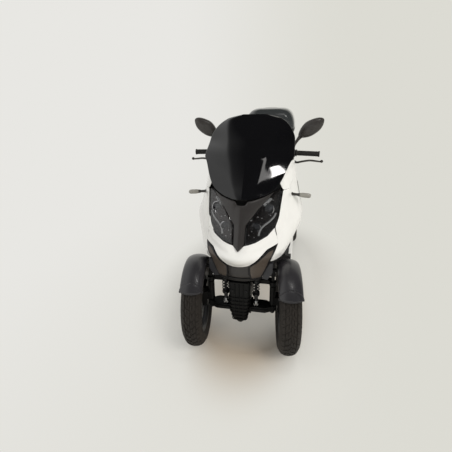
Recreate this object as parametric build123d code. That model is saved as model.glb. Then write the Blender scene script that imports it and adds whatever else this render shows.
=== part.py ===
"""Tilting four-wheeled scooter, two wheels in front and two behind, standing on its wheels.

Millimetres. X points to the rider's left, Y backwards and Z up, and the scooter faces -Y.
Y places are measured from the front axle; save() moves every piece into the part's own
frame, whose origin lies on the ground under the middle of the bounding box.
"""
from build123d import *
import math
import os

# ---- Stance ----
WHEELBASE = 1580.0
HALF_TRACK = 265.0
REAR_HALF_TRACK = HALF_TRACK - 22.0
FRONT_AXLE_Y = -813.0
PARKED_WHEELS = 7.0        # degrees to the left that the front wheels are turned
PARKED_BAR = 2.0           # degrees to the left that the handlebar is turned
STEER_LIMIT = 28.0         # degrees each way from straight ahead
TOUCH = 0.3                # gap where two separate pieces are seated on each other
PANEL_GAP = 0.6            # gap between neighbouring body panels
RUNNING = 0.05             # radial clearance of a turning shaft

# ---- Wheels and tyres ----
TYRE_R = 266.0
TYRE_W = 116.0
RIM_R = 178.0
RIM_W = 84.0
RIM_WALL = 7.0
HUB_R = 34.0
HUB_W = 62.0
SPOKES = 5
SPOKE_W = 26.0
SPOKE_T = 16.0
DISC_R = 120.0
DISC_T = 5.0
AXLE_R = 12.0

# ---- Front suspension ----
KINGPIN_X = HALF_TRACK - 85.0
KINGPIN_R = 11.0
ARM_IN_X = 62.0
ARM_BOSS_R = 21.0
LOWER_ARM_Z = 243.0
LOWER_ARM_T = 34.0
LOWER_ARM_DEPTH = 84.0
UPPER_ARM_Z = 408.0
UPPER_ARM_T = 26.0
UPPER_ARM_DEPTH = 38.0
UPPER_ARM_Y = 4.0
SHOCK_X = 88.0
SHOCK_Y = -24.0
SHOCK_R = 21.0
SHOCK_TOP_Z = 560.0
CARRIER_TOP_Z = 450.0
CARRIER_REAR_Y = 110.0

# ---- Fenders ----
FENDER_GAP = 11.0          # over the tread
FENDER_R = TYRE_R + FENDER_GAP
FENDER_HALF_W = 63.0
FENDER_DROP = 27.0
FENDER_T = 3.0
FENDER_FRONT = 48.0        # degrees ahead of the vertical
FENDER_REAR = 72.0         # degrees behind the vertical

# ---- Steering ----
STEER_Y = 590.0
STEER_Z = 1000.0
RAKE = 25.0
STEM_R = 17.0
HEAD_TUBE_R = 28.0
HEAD_LOW_Z = 610.0
HEAD_TOP_Z = 890.0
GRIP_END_X = 411.0
GRIP_IN_X = 262.0
GRIP_Y = 577.0
GRIP_Z = 1053.0
GRIP_R = 17.5
BAR_R = 11.0
BAR_BORE_R = 6.0
BAR_BEND = (212.0, 596.0, 1056.0)
MIRROR_AT = (353.0, 640.0, 1210.0)
# outline of a mirror, x and z from its middle
MIRROR_LEAF = ((-78.0, -62.0), (-8.0, -56.0), (56.0, -8.0), (73.0, 50.0), (34.0, 62.0), (-36.0, 36.0), (-74.0, -14.0))

# ---- Front body ----
SKIN = 4.0
NOSE_CURVE = 0.0029        # how fast the nose falls back to the sides
FLARE_X = 150.0            # where the nose turns into the flanks
BODY_REAR_Y = 430.0
# height, middle of the nose, half width, front of the flank
NOSE_ROWS = (
    (562.0, -112.0, 262.0, 205.0),
    (619.0, -133.0, 281.0, 212.0),
    (655.0, -104.0, 297.0, 225.0),
    (740.0, -58.0, 319.0, 262.0),
    (820.0, -22.0, 299.0, 300.0),
    (922.0, 26.0, 278.0, 345.0),
    (1045.0, 110.0, 257.0, 392.0),
)
# half outline of a headlamp, x and z, clockwise from its upper outer corner
LAMP = ((206.0, 922.0), (166.0, 922.0), (92.0, 850.0), (33.0, 776.0), (29.0, 668.0),
        (85.0, 679.0), (141.0, 700.0), (180.0, 730.0), (196.0, 780.0))
LAMP_DEPTH = 30.0
# place across and height of each projector, and its radius
PROJECTORS = ((96.0, 782.0, 34.0), (160.0, 838.0, 28.0))
TRIM_TIP_Z = 640.0
SCREEN_T = 6.0             # measured along Y
CREASE_SHARE = 0.12        # how far back the crease lies between the middle and the edge
# height, middle, crease, edge: the windscreen from its lower edge up
SCREEN_ROWS = (
    (880.0, 6.0, 20.0, 46.0, 10.0),
    (903.0, 28.0, 34.0, 114.0, 56.0),
    (925.0, 50.0, 50.0, 156.0, 96.0),
    (960.0, 84.0, 66.0, 188.0, 128.0),
    (1060.0, 190.0, 98.0, 240.0, 228.0),
    (1090.0, 223.0, 112.0, 258.0, 268.0),
    (1164.0, 322.0, 136.0, 256.0, 398.0),
    (1214.0, 392.0, 148.0, 236.0, 437.0),
    (1277.0, 484.0, 158.0, 166.0, 504.0),
    (1300.0, 515.0, 60.0, 70.0, 518.0),
)
CHIN_ROWS = (
    (466.0, -84.0, 118.0),
    (505.0, -100.0, 134.0),
    (561.4, -112.0, 161.0),
)
LIP_TOP_Z = 488.0
CHIN_REAR_Y = -20.0
APRON_Y = -34.0
LINER_Z = 568.0

# ---- Floor, engine and rear ----
FLOOR_T = 28.0
FLOOR_FRONT_Y = 432.0
FLOOR_REAR_Y = 862.0
FLOOR_HALF_W = 246.0
SHOULDER_HALF_W = 266.0    # foot of the leg shield, over the floor's front corners
SHOULDER_H = 54.0
WAIST_HALF_W = 226.0       # leg shield above its foot, behind the front wheels
SPLASH_LOW_Z = 214.0
RAIL_R = 17.0
RAIL_X = 110.0
RAIL_Z = 288.0
FLOOR_Z = RAIL_Z + RAIL_R + TOUCH
SEAT_RAIL_X = 178.0
ENGINE_FRONT_Y = 985.0
ENGINE_REAR_Y = 1450.0
ENGINE_LOW_Z = 205.0
ENGINE_TOP_Z = 465.0
ARM_X = REAR_HALF_TRACK - 96.0
ARM_W = 36.0
ENGINE_HALF_W = ARM_X - ARM_W / 2 - 4.0
ARM_H = 58.0
ARM_PIVOT_Y = 1250.0
ARM_PIVOT_Z = 310.0
BUCKET_FRONT_Y = 905.0
BUCKET_REAR_Y = 1395.0
BUCKET_HALF_W = 140.0
BUCKET_LOW_Z = 482.0
BUCKET_TOP_Z = 742.0
BUCKET_WALL = 4.0
SEAT_HINGE_Y = 838.0
SEAT_HINGE_Z = 728.0
HINGE_PIN_R = 5.0
# along the scooter, half width, underside, pan top, cushion top
SEAT_ROWS = (
    (854.0, 92.0, 746.0, 764.0, 782.0),
    (1000.0, 138.0, 752.0, 772.0, 806.0),
    (1150.0, 154.0, 758.0, 780.0, 812.0),
    (1205.0, 158.0, 772.0, 798.0, 884.0),
    (1330.0, 156.0, 806.0, 836.0, 918.0),
    (1486.0, 142.0, 850.0, 880.0, 930.0),
)
# along the scooter, half width, lower edge, upper edge of the tail body
TAIL_ROWS = (
    (838.0, 150.0, 450.0, 738.0),
    (1000.0, 214.0, 430.0, 748.0),
    (1250.0, 236.0, 500.0, 792.0),
    (1500.0, 216.0, 600.0, 846.0),
    (1750.0, 150.0, 680.0, 872.0),
    (1880.0, 92.0, 740.0, 862.0),
)
RACK_Z = 932.0
PLATE_Y = 1896.0
PLATE_BOLT_X = 72.0
PLATE_BOLT_Z = 642.0
PLATE_BOLT_R = 3.25
CASE_FRONT_Y = 1500.0
CASE_REAR_Y = 1892.0
CASE_HALF_W = 226.0
CASE_LOW_Z = 962.0
CASE_SPLIT_Z = 1112.0
CASE_TOP_Z = 1303.0
CASE_WALL = 5.0
CASE_HINGE_Y = CASE_FRONT_Y - 9
CASE_HINGE_Z = CASE_SPLIT_Z


# ---- Helpers ----

def save(name, shape):
    """Moves a piece from the front axle's frame to the part's frame and writes it."""
    solids = shape.solids()
    placed = [Pos(0, FRONT_AXLE_Y, 0) * s for s in solids]
    export_step(placed[0] if len(placed) == 1 else Compound(children=placed),
                f"parts/{name}.step")


def both(shape):
    """A piece and its mirror image on the other side."""
    twins = list(shape.solids()) + list(mirror(shape, about=Plane.YZ).solids())
    return Compound(children=twins)


def block(x, y, z):
    """A box between pairs of X, Y and Z."""
    return Pos(sum(x) / 2, sum(y) / 2, sum(z) / 2) * Box(x[1] - x[0], y[1] - y[0], z[1] - z[0])


def rod(a, b, radius):
    """A round bar from point a to point b."""
    a, b = Vector(*a), Vector(*b)
    return Solid.make_cylinder(radius, (b - a).length, Plane(origin=a, z_dir=b - a))


def tube(points, radius, bend):
    """A round bar bent along points."""
    path = FilletPolyline(*points, radius=bend) if len(points) > 2 else Line(*points)
    profile = Plane(origin=path @ 0, z_dir=path % 0) * Circle(radius)
    return sweep(profile, path=path)


def prism_y(points, y0, y1):
    """An outline given in X and Z, extruded along Y."""
    face = make_face(Polyline(*[(x, y0, z) for x, z in points], close=True))
    return extrude(face, amount=y1 - y0, dir=(0, 1, 0))


def prism_x(points, x0, x1):
    """An outline given in Y and Z, extruded along X."""
    face = make_face(Polyline(*[(x0, y, z) for y, z in points], close=True))
    return extrude(face, amount=x1 - x0, dir=(1, 0, 0))


def mirrored(points):
    """A half outline and its mirror image as one closed outline."""
    return list(points) + [(-a, b) for a, b in reversed(points) if abs(a) > 1e-6]


def rounded_face(x, y, z, radius):
    """A rounded rectangle in a level plane, between pairs of X and Y."""
    return Pos(sum(x) / 2, sum(y) / 2, z) * RectangleRounded(x[1] - x[0], y[1] - y[0], radius)


def steer_axis(z):
    """Place on the steering axis at a height."""
    return (0, STEER_Y + (z - STEER_Z) * math.tan(math.radians(RAKE)), z)


def parked_wheel(shape, side):
    """Turns a piece on a front knuckle to its parked angle about the kingpin."""
    pin = Axis((side * KINGPIN_X, 0, 0), (0, 0, 1))
    return shape.rotate(pin, PARKED_WHEELS)


def parked_bar(shape):
    """Turns a piece on the handlebar to its parked angle about the steering axis."""
    rake = math.radians(RAKE)
    axis = Axis(steer_axis(STEER_Z), (0, math.sin(rake), math.cos(rake)))
    return shape.rotate(axis, PARKED_BAR)


# ---- Wheels ----

def tyre():
    """A tyre about the X axis at the origin."""
    half, bead = TYRE_W / 2, RIM_W / 2 - 4 - TOUCH
    outline = [
        (-bead, RIM_R), (-bead, RIM_R + 9), (-half + 3, RIM_R + 26), (-half, RIM_R + 44), (-half + 12, TYRE_R - 19),
        (-half + 30, TYRE_R - 5), (0, TYRE_R),
    ]
    outline += [(-x, r) for x, r in reversed(outline[:-1])]
    face = make_face(Polyline(*[(x, 0, r) for x, r in outline], close=True))
    return revolve(face, axis=Axis.X)


def rim():
    """A cast rim with a brake disc about the X axis; its open side faces -X."""
    half, inner = RIM_W / 2, RIM_R - RIM_WALL
    barrel = make_face(Polyline(
        (-half, 0, inner - 4), (-half, 0, RIM_R + 8), (-half + 4, 0, RIM_R + 8),
        (-half + 4, 0, RIM_R - TOUCH), (half - 4, 0, RIM_R - TOUCH), (half - 4, 0, RIM_R + 8),
        (half, 0, RIM_R + 8), (half, 0, inner - 4), (half - 12, 0, inner - 14),
        (-half + 12, 0, inner - 14), close=True))
    wheel = revolve(barrel, axis=Axis.X)
    hub_x = half - HUB_W
    wheel += Pos(hub_x + HUB_W / 2, 0, 0) * Rot(0, 90, 0) * Cylinder(HUB_R, HUB_W)
    spoke = make_face(Polyline(
        (half - 8 - SPOKE_T, 0, 0), (half - 8 - SPOKE_T, 0, inner - 8),
        (half - 10, 0, inner - 8), (half - 2, 0, 0), close=True))
    for i in range(SPOKES):
        arm = extrude(spoke, amount=SPOKE_W / 2, both=True)
        wheel += arm.rotate(Axis.X, 360 * i / SPOKES)
    disc = Pos(hub_x + DISC_T / 2, 0, 0) * Rot(0, 90, 0) * Cylinder(DISC_R, DISC_T)
    disc -= Pos(hub_x + DISC_T / 2, 0, 0) * Rot(0, 90, 0) * Cylinder(DISC_R - 34, DISC_T)
    wheel += disc
    wheel += Pos(hub_x + DISC_T / 2, 0, 0) * Rot(0, 90, 0) * Cylinder(HUB_R + 12, DISC_T)
    for i in range(SPOKES):
        link = block((hub_x, hub_x + DISC_T), (-7, 7), (HUB_R, DISC_R - 20))
        wheel += link.rotate(Axis.X, 360 * (i + 0.5) / SPOKES)
    wheel -= Rot(0, 90, 0) * Cylinder(AXLE_R + RUNNING, 4 * HUB_W)
    return wheel


def wheels():
    """Four tyres and four rims, the front pair turned to its parked angle."""
    tyre_shape, rim_shape = tyre(), rim()
    for side, side_name in ((1, "left"), (-1, "right")):
        flip = Rot(0, 0, 0 if side > 0 else 180)
        front = Pos(side * HALF_TRACK, 0, TYRE_R) * flip
        rear = Pos(side * REAR_HALF_TRACK, WHEELBASE, TYRE_R) * flip
        save(f"tyre_front_{side_name}", parked_wheel(front * tyre_shape, side))
        save(f"rim_front_{side_name}", parked_wheel(front * rim_shape, side))
        save(f"tyre_rear_{side_name}", rear * tyre_shape)
        save(f"rim_rear_{side_name}", rear * rim_shape)


def fender(front, rear):
    """A crowned mudguard over a wheel at the origin, open below."""
    half, edge = FENDER_HALF_W, FENDER_R - FENDER_DROP
    outer = ThreePointArc((-half, 0, edge), (0, 0, FENDER_R), (half, 0, edge))
    inner = ThreePointArc((half - FENDER_T, 0, edge), (0, 0, FENDER_R - FENDER_T),
                          (-half + FENDER_T, 0, edge))
    face = make_face([outer, Line(outer @ 1, inner @ 0), inner, Line(inner @ 1, outer @ 0)])
    shape = revolve(face, axis=Axis.X, revolution_arc=front + rear)
    return shape.rotate(Axis.X, -rear)


# ---- Front suspension ----

def knuckle():
    """Left steering knuckle: kingpin, upright, stub axle, mudguard stay and caliper."""
    pin_low, pin_top = LOWER_ARM_Z - 8, UPPER_ARM_Z + UPPER_ARM_T + 8
    low_top, up_low = LOWER_ARM_Z + LOWER_ARM_T + 6, UPPER_ARM_Z - 6
    x, plate_x = KINGPIN_X, KINGPIN_X + ARM_BOSS_R + 6
    inner_end = HALF_TRACK - RIM_W / 2 + (RIM_W - HUB_W) - 6
    shape = rod((x, 0, pin_low), (x, 0, pin_top), KINGPIN_R)
    shape += rod((x, 0, low_top), (x, 0, up_low), ARM_BOSS_R - 3)
    shape += block((x, inner_end), (-16, 16), (low_top, low_top + 50))
    shape += block((plate_x, inner_end), (-20, 20), (TYRE_R - 28, low_top + 50))
    shape += rod((plate_x, 0, TYRE_R), (HALF_TRACK + RIM_W / 2 + 4, 0, TYRE_R), AXLE_R)
    return shape


def knuckle_stay():
    """Stay that carries the front mudguard from the top of the kingpin."""
    top = UPPER_ARM_Z + UPPER_ARM_T + 8
    x, inner = KINGPIN_X, HALF_TRACK - FENDER_HALF_W
    post = block((x - 9, x + 9), (-14, 14), (top, TYRE_R + FENDER_R - FENDER_DROP - 6))
    cap = TYRE_R + FENDER_R - FENDER_DROP - 6
    foot = block((x - 9, inner + FENDER_T), (-14, 14), (cap - 12, cap))
    lug = block((inner - TOUCH - 5, inner - TOUCH), (-14, 14), (cap - 12, cap + 16))
    return post + foot + lug


def caliper():
    """Left front brake caliper astride the disc, behind the upright."""
    inner_end = HALF_TRACK - RIM_W / 2 + (RIM_W - HUB_W)
    body = block((inner_end - 20, inner_end + DISC_T + 18), (60, 132), (TYRE_R - 8, TYRE_R + 62))
    slot = block((inner_end - 2, inner_end + DISC_T + 2), (40, 124), (TYRE_R - 20, TYRE_R + 80))
    return body - slot


def front_suspension():
    """Arms, carrier and shock absorbers that carry the two knuckles."""
    x = KINGPIN_X
    bore = rod((x, 0, 0), (x, 0, 900), KINGPIN_R + RUNNING)
    low_z, up_z = (LOWER_ARM_Z, LOWER_ARM_Z + LOWER_ARM_T), (UPPER_ARM_Z, UPPER_ARM_Z + UPPER_ARM_T)
    depth = LOWER_ARM_DEPTH / 2
    plan = [(ARM_IN_X + TOUCH, -depth), (x - 40, -depth), (x, -ARM_BOSS_R + 1), (x, ARM_BOSS_R - 1),
            (x - 40, depth), (ARM_IN_X + TOUCH, depth)]
    face = make_face(Polyline(*[(a, b, low_z[0]) for a, b in plan], close=True))
    lower = extrude(face, amount=LOWER_ARM_T, dir=(0, 0, 1))
    lower += rod((x, 0, low_z[0]), (x, 0, low_z[1]), ARM_BOSS_R)
    lower -= bore
    upper = block((ARM_IN_X + TOUCH, x - 8), (UPPER_ARM_Y, UPPER_ARM_Y + UPPER_ARM_DEPTH), up_z)
    upper += rod((x, 0, up_z[0]), (x, 0, up_z[1]), ARM_BOSS_R)
    upper -= bore
    save("front_arms", Compound(children=[*both(lower).solids(), *both(upper).solids()]))
    save("front_carrier", carrier())
    save("front_shocks", both(front_shock(low_z[1] + TOUCH)))


def carrier():
    """Cast carrier in the middle, with a rounded keel below and a tower above."""
    faces = [
        rounded_face((-14, 14), (-62, -20), 178, 12),
        rounded_face((-40, 40), (-82, 40), 212, 24),
        rounded_face((-ARM_IN_X + 6, ARM_IN_X - 6), (-86, 78), 300, 20),
        rounded_face((-ARM_IN_X, ARM_IN_X), (-80, CARRIER_REAR_Y - 20), CARRIER_TOP_Z, 16),
    ]
    shape = loft(faces, ruled=True)
    shape += block((-ARM_IN_X, ARM_IN_X), (-50, 60), (LOWER_ARM_Z - 4, LOWER_ARM_Z + LOWER_ARM_T))
    shape += block((-ARM_IN_X, ARM_IN_X), (-20, 50), (UPPER_ARM_Z - 10, CARRIER_TOP_Z))
    shape += block((-58, 58), (40, CARRIER_REAR_Y), (CARRIER_TOP_Z - 70, CARRIER_TOP_Z + 16))
    shape += block((-44, 44), (-30, 60), (CARRIER_TOP_Z - 10, SHOCK_TOP_Z + 20))
    beam = (SHOCK_TOP_Z, SHOCK_TOP_Z + 20)
    shape += block((-SHOCK_X - 18, SHOCK_X + 18), (SHOCK_Y - 16, SHOCK_Y + 40), beam)
    return shape


def front_shock(foot_z):
    """Left front shock absorber: foot, rod, spring and cap."""
    shape = rod((SHOCK_X, SHOCK_Y + 14, foot_z), (SHOCK_X, SHOCK_Y + 14, foot_z + 12), 13)
    shape += block((SHOCK_X - 12, SHOCK_X + 12), (SHOCK_Y - 12, SHOCK_Y + 20), (foot_z + 8, foot_z + 34))
    shape += rod((SHOCK_X, SHOCK_Y, foot_z + 20), (SHOCK_X, SHOCK_Y, foot_z + 70), 14)
    shape += rod((SHOCK_X, SHOCK_Y, foot_z + 60), (SHOCK_X, SHOCK_Y, SHOCK_TOP_Z - 40), SHOCK_R)
    shape += rod((SHOCK_X, SHOCK_Y, SHOCK_TOP_Z - 45), (SHOCK_X, SHOCK_Y, SHOCK_TOP_Z - TOUCH), 17)
    return shape


def knuckles():
    """Both knuckles with their mudguards and calipers, parked."""
    guard = Pos(HALF_TRACK, 0, TYRE_R) * fender(FENDER_FRONT, FENDER_REAR)
    left = knuckle() + knuckle_stay()
    pad = caliper()
    bracket = block((KINGPIN_X + 8, HALF_TRACK - RIM_W / 2 + (RIM_W - HUB_W) - 6), (10, 60 - TOUCH),
                    (TYRE_R + 18, TYRE_R + 60))
    left += bracket
    for side, side_name in ((1, "left"), (-1, "right")):
        turn = (lambda s: s) if side > 0 else (lambda s: mirror(s, about=Plane.YZ))
        pieces = [*turn(left).solids(), *turn(pad).solids()]
        save(f"knuckle_{side_name}", parked_wheel(Compound(children=pieces), side))
        save(f"front_fender_{side_name}", parked_wheel(turn(guard), side))


# ---- Frame ----

TAIL_TUBE = (1750.0, 786.0, 106.0)
RAIL_END = (104.0, 1760.0, 790.0)
TAIL_TABS = ((1060.0, 541.0), (1390.0, 671.0))


def frame_rail(radius):
    """Left rail from the front carrier, under the floor and up to the tail."""
    return tube([(40, CARRIER_REAR_Y + TOUCH, 430), (40, 280, 430), (RAIL_X, 395, RAIL_Z),
                 (RAIL_X, 905, RAIL_Z), (SEAT_RAIL_X, 1010, 520), (SEAT_RAIL_X, 1440, 690),
                 RAIL_END], radius, 45)


def main_frame():
    """Tubular frame from the front carrier to the tail, with the head tube."""
    shape = both_fused(frame_rail(RAIL_R))
    head = rod(steer_axis(HEAD_LOW_Z), steer_axis(HEAD_TOP_Z), HEAD_TUBE_R)
    neck = steer_axis(HEAD_LOW_Z + 30)
    for x in (-40, 40):
        shape += rod((x, 262, 430), (x * 0.4, neck[1], neck[2]), RAIL_R - 3)
    shape += head
    for y, z, reach in ((560, RAIL_Z, RAIL_X), (830, RAIL_Z, RAIL_X), (1440, 690, SEAT_RAIL_X),
                        TAIL_TUBE):
        shape += rod((-reach, y, z), (reach, y, z), RAIL_R - 4)
    for y, z in TAIL_TABS:
        shape += rod((SEAT_RAIL_X, y, z), (400, y, z), 8) & tail_hollow()
        shape += rod((-SEAT_RAIL_X, y, z), (-400, y, z), 8) & tail_hollow()
    shape -= rod(steer_axis(HEAD_LOW_Z - 40), steer_axis(HEAD_TOP_Z + 40), STEM_R + RUNNING)
    return shape


# ---- Front body ----

def nose_line(row, inset, count=11):
    """Points across the nose at one height, drawn in by a wall's thickness."""
    z, middle, half, side_y = row
    half, flare = half - inset, side_y - middle - NOSE_CURVE * half * half
    points = []
    for i in range(-count // 2 + 1, count // 2 + 1):
        x = half * i / (count // 2)
        past = max(0.0, (abs(x) - FLARE_X) / (half - FLARE_X))
        points.append((x, middle + inset + NOSE_CURVE * x * x + flare * past ** 3, z))
    return points


def nose_depth(x, z):
    """How far back the nose's surface lies at a place seen from the front."""
    for low, high in zip(NOSE_ROWS, NOSE_ROWS[1:]):
        if low[0] <= z <= high[0]:
            share = (z - low[0]) / (high[0] - low[0])
            middle, half, side_y = (a + (b - a) * share for a, b in zip(low[1:], high[1:]))
            past = max(0.0, (abs(x) - FLARE_X) / (half - FLARE_X))
            return middle + NOSE_CURVE * x * x + (side_y - middle - NOSE_CURVE * half * half) * past ** 3
    raise ValueError(z)


def nose_section(row, inset, stretch):
    """A level section of the front body's outer form or of its hollow."""
    line = nose_line(row, inset)
    rear = BODY_REAR_Y + (stretch if inset else 0)
    first, last = line[0], line[-1]
    sides = Polyline(last, (last[0], rear, row[0]), (first[0], rear, row[0]), first)
    return make_face([Spline(*line), sides])


def nose_forms():
    """The outer form of the front body and its hollow, open behind, above and below."""
    outer = loft([nose_section(row, 0, 0) for row in NOSE_ROWS], ruled=True)
    low, top = NOSE_ROWS[0], NOSE_ROWS[-1]
    rows = [(low[0] - 30, *low[1:])] + list(NOSE_ROWS) + [(top[0] + 30, *top[1:])]
    inner = loft([nose_section(row, SKIN, 60) for row in rows], ruled=True)
    return outer, inner


def shrunk(points, amount):
    """A closed outline with each side moved inwards."""
    count = len(points)
    turn = sum(points[i - 1][0] * points[i][1] - points[i][0] * points[i - 1][1] for i in range(count))
    inward = math.copysign(1, turn)
    moved = []
    for i in range(count):
        before, here, after = points[i - 1], points[i], points[(i + 1) % count]
        normals = []
        for start, end in ((before, here), (here, after)):
            length = math.dist(start, end)
            normals.append(((start[1] - end[1]) / length * inward, (end[0] - start[0]) / length * inward))
        (ax, az), (bx, bz) = normals
        reach = amount / (1 + ax * bx + az * bz)
        moved.append((here[0] + (ax + bx) * reach, here[1] + (az + bz) * reach))
    return moved


def panel(skin, points):
    """The part of the skin inside an outline in X and Z, shrunk by half a panel gap."""
    return skin & prism_y(shrunk(points, PANEL_GAP / 2), -300, BODY_REAR_Y + 100)


TRIM_HALF = ((166.0, 922.0), (92.0, 850.0), (33.0, 776.0), (29.0, 668.0), (0.0, TRIM_TIP_Z))
TRIM_TOP = ((0.0, 866.0), (46.0, 870.0), (112.0, 893.0), (150.0, 913.0))
COWL_LOW = ((201.0, 662.0), (147.0, 650.0), (116.0, 626.0), (89.0, 600.0), (58.0, 577.0), (0.0, 568.0))
FLANK = ((196.0, 780.0), (206.0, 922.0), (188.0, 957.0), (240.0, 1058.0), (262.0, 1100.0),
         (360.0, 1100.0), (360.0, 700.0), (322.0, 690.0), (285.0, 650.0), (243.0, 583.0),
         (211.0, 571.0), (163.0, 577.0), (201.0, 662.0), (180.0, 730.0))


def front_panels():
    """Cowl, flanks, trim and lamps cut from one skin, so their faces line up."""
    outer, hollow = nose_forms()
    skin = outer - hollow
    cowl = [(180.0, 730.0), (201.0, 662.0)] + list(COWL_LOW[1:])
    cowl_top = [(0.0, TRIM_TIP_Z), (29.0, 668.0), (85.0, 679.0), (141.0, 700.0)]
    outline = cowl + [(-x, z) for x, z in reversed(cowl[:-1])]
    outline += [(-x, z) for x, z in reversed(cowl_top[1:])] + cowl_top
    save("front_cowl", panel(skin, outline))
    flank = panel(skin, FLANK)
    save("side_fairings", both(flank))
    trim = list(TRIM_TOP) + list(TRIM_HALF)
    outline = trim + [(-x, z) for x, z in reversed(trim[1:-1])]
    save("nose_trim", panel(skin, outline))
    save("headlamp_lenses", both(panel(skin, LAMP)))
    low = NOSE_ROWS[0][0]
    wings = [(201.0, 662.0), (163.0, 577.0), (161.0, low - 40), (-161.0, low - 40), (-163.0, 577.0),
             (-201.0, 662.0)] + [(-x, z) for x, z in COWL_LOW[1:-1]] + list(reversed(COWL_LOW[1:]))
    lip, grille = chin()
    save("lower_lip", lip)
    save("front_grille", Compound(children=[panel(skin, wings), *grille.solids()]))
    liner = hollow & block((SHOCK_X + 34, 400), (0, BODY_REAR_Y - 12), (LINER_Z, LINER_Z + 4))
    save("inner_liners", Compound(children=[*both(liner).solids(), *both(apron()).solids()]))
    save("headlamp_units", both(lamp_unit(hollow)))
    save("front_indicators", front_indicators(outer))


def lamp_unit(hollow):
    """Left headlamp body behind its lens: a cup with two projector barrels."""
    def behind(near, far):
        return (Pos(0, near, 0) * hollow) - (Pos(0, far, 0) * hollow)

    cup = behind(TOUCH, LAMP_DEPTH) & prism_y(shrunk(LAMP, 1), -300, BODY_REAR_Y)
    cup -= behind(-9, LAMP_DEPTH - 4) & prism_y(shrunk(LAMP, 4), -300, BODY_REAR_Y)
    for x, z, radius in PROJECTORS:
        floor_y = nose_depth(x, z) + SKIN + LAMP_DEPTH
        cup += rod((x, floor_y + 8, z), (x, floor_y + 34, z), radius)
    return cup


def screen_form(front, back):
    """The windscreen's surface between two offsets along Y."""
    faces = []
    for z, mid_y, crease, edge, edge_y in SCREEN_ROWS:
        half = [(crease, mid_y + (edge_y - mid_y) * CREASE_SHARE, z), (edge, edge_y, z)]
        line = [(-x, y, z) for x, y, z in reversed(half)] + [(0, mid_y, z)] + half
        near = [(x, y + front, z) for x, y, z in line]
        far = [(x, y + back, z) for x, y, z in reversed(line)]
        faces.append(make_face(Polyline(*near, *far, close=True)))
    return loft(faces, ruled=True)


def chin_section(z, middle, half, inset):
    """A level section of the chin or of its hollow, on the nose's own curve."""
    half -= inset
    xs = [half * i / 3 for i in range(-3, 4)]
    rear = CHIN_REAR_Y + (60 if inset else 0)
    points = [(x, middle + inset + NOSE_CURVE * x * x) for x in xs] + [(half, rear), (-half, rear)]
    return make_face(Polyline(*[(x, y, z) for x, y in points], close=True))


def chin():
    """Lip and lower grille under the cowl, open above, below and behind."""
    outer = loft([chin_section(*row, 0) for row in CHIN_ROWS], ruled=True)
    low, top = CHIN_ROWS[0], CHIN_ROWS[-1]
    rows = [(low[0] - 20, *low[1:]), *CHIN_ROWS, (top[0] + 20, *top[1:])]
    shell = outer - loft([chin_section(*row, SKIN) for row in rows], ruled=True)
    lip = shell & block((-200, 200), (-300, 200), (0, LIP_TOP_Z - PANEL_GAP / 2))
    grille = shell & block((-200, 200), (-300, 200), (LIP_TOP_Z + PANEL_GAP / 2, 900))
    return lip, grille


def apron():
    """Left apron beside the chin, above the suspension arms."""
    chin_side = [(half + TOUCH, z) for z, _, half in CHIN_ROWS]
    edge = HALF_TRACK - FENDER_HALF_W - 24
    above = NOSE_ROWS[0][0] - 1
    outline = chin_side + [(edge, NOSE_ROWS[0][0]), (edge, 505), (edge - 28, 458)]
    low = prism_y(outline, APRON_Y, APRON_Y + 5)
    shelf = prism_y([(edge - 15, above - 6), (edge, above - 6), (edge, above), (edge - 15, above)],
                    APRON_Y, 60)
    return low + shelf


def dashboard():
    """Instrument panel behind the windscreen, with dials and two screen stays."""
    rear = BODY_REAR_Y
    body = prism_x([(180, 905), (200, 985), (285, 1040), (330, 1040), (395, 960), (rear, 915),
                    (rear, 880), (395, 880)], -190, 190)
    body -= prism_x([(190, 860), (212, 978), (290, 1030), (326, 1030), (386, 955), (rear - 10, 906),
                     (rear - 10, 860)], -183, 183)
    face = Plane(origin=(0, 362, 1000), x_dir=(1, 0, 0), z_dir=(0, 0.78, 0.63))
    for x, radius in ((-72, 44), (72, 44), (0, 26)):
        body += face * (Pos(x, 0, 0) * Cylinder(radius, 14))
    for x in (-78, 78):
        body += rod((x, 60, 960), (x, 196, 960), 9)
    return body - screen_form(-200, SCREEN_T + TOUCH)


def leg_shield():
    """Inner fairing in front of the rider, with the steering column's cover."""
    front = BODY_REAR_Y + TOUCH
    levels = [(619.0, 281.0), *[(row[0], row[2]) for row in NOSE_ROWS[2:5]], (900.0, 283.0)]
    low = FLOOR_Z + FLOOR_T + TOUCH
    plate = loft([Pos(0, (front + 470) / 2, z) * Rectangle(2 * half, 470 - front)
                  for z, half in levels], ruled=True)
    middle = FLOOR_FRONT_Y + 8
    plate += loft([Pos(0, middle, low + SHOULDER_H - 2) * Rectangle(2 * WAIST_HALF_W, 36),
                   Pos(0, (front + 470) / 2, 540) * Rectangle(2 * WAIST_HALF_W + 12, 470 - front),
                   Pos(0, (front + 470) / 2, levels[0][0]) * Rectangle(2 * levels[0][1], 470 - front)],
                  ruled=True)
    plate += block((-SHOULDER_HALF_W, SHOULDER_HALF_W), (middle - 18, middle + 18), (low, low + SHOULDER_H))
    plate += block((-FLOOR_HALF_W, FLOOR_HALF_W), (middle - 18, FLOOR_FRONT_Y - TOUCH), (SPLASH_LOW_Z, low + 4))
    for x in (-RAIL_X, RAIL_X):
        plate -= rod((x, middle - 40, RAIL_Z), (x, middle + 40, RAIL_Z), RAIL_R + TOUCH)
    cover = prism_x([(470, 560), (556, HEAD_TOP_Z - 100), (604, 922), (470, 922)], -92, 92)
    shape = plate + cover
    shape -= rod(steer_axis(HEAD_LOW_Z - 60), steer_axis(960), 46)
    shape -= block((-60, 60), (300, 446), (520, 690))
    return shape


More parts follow.
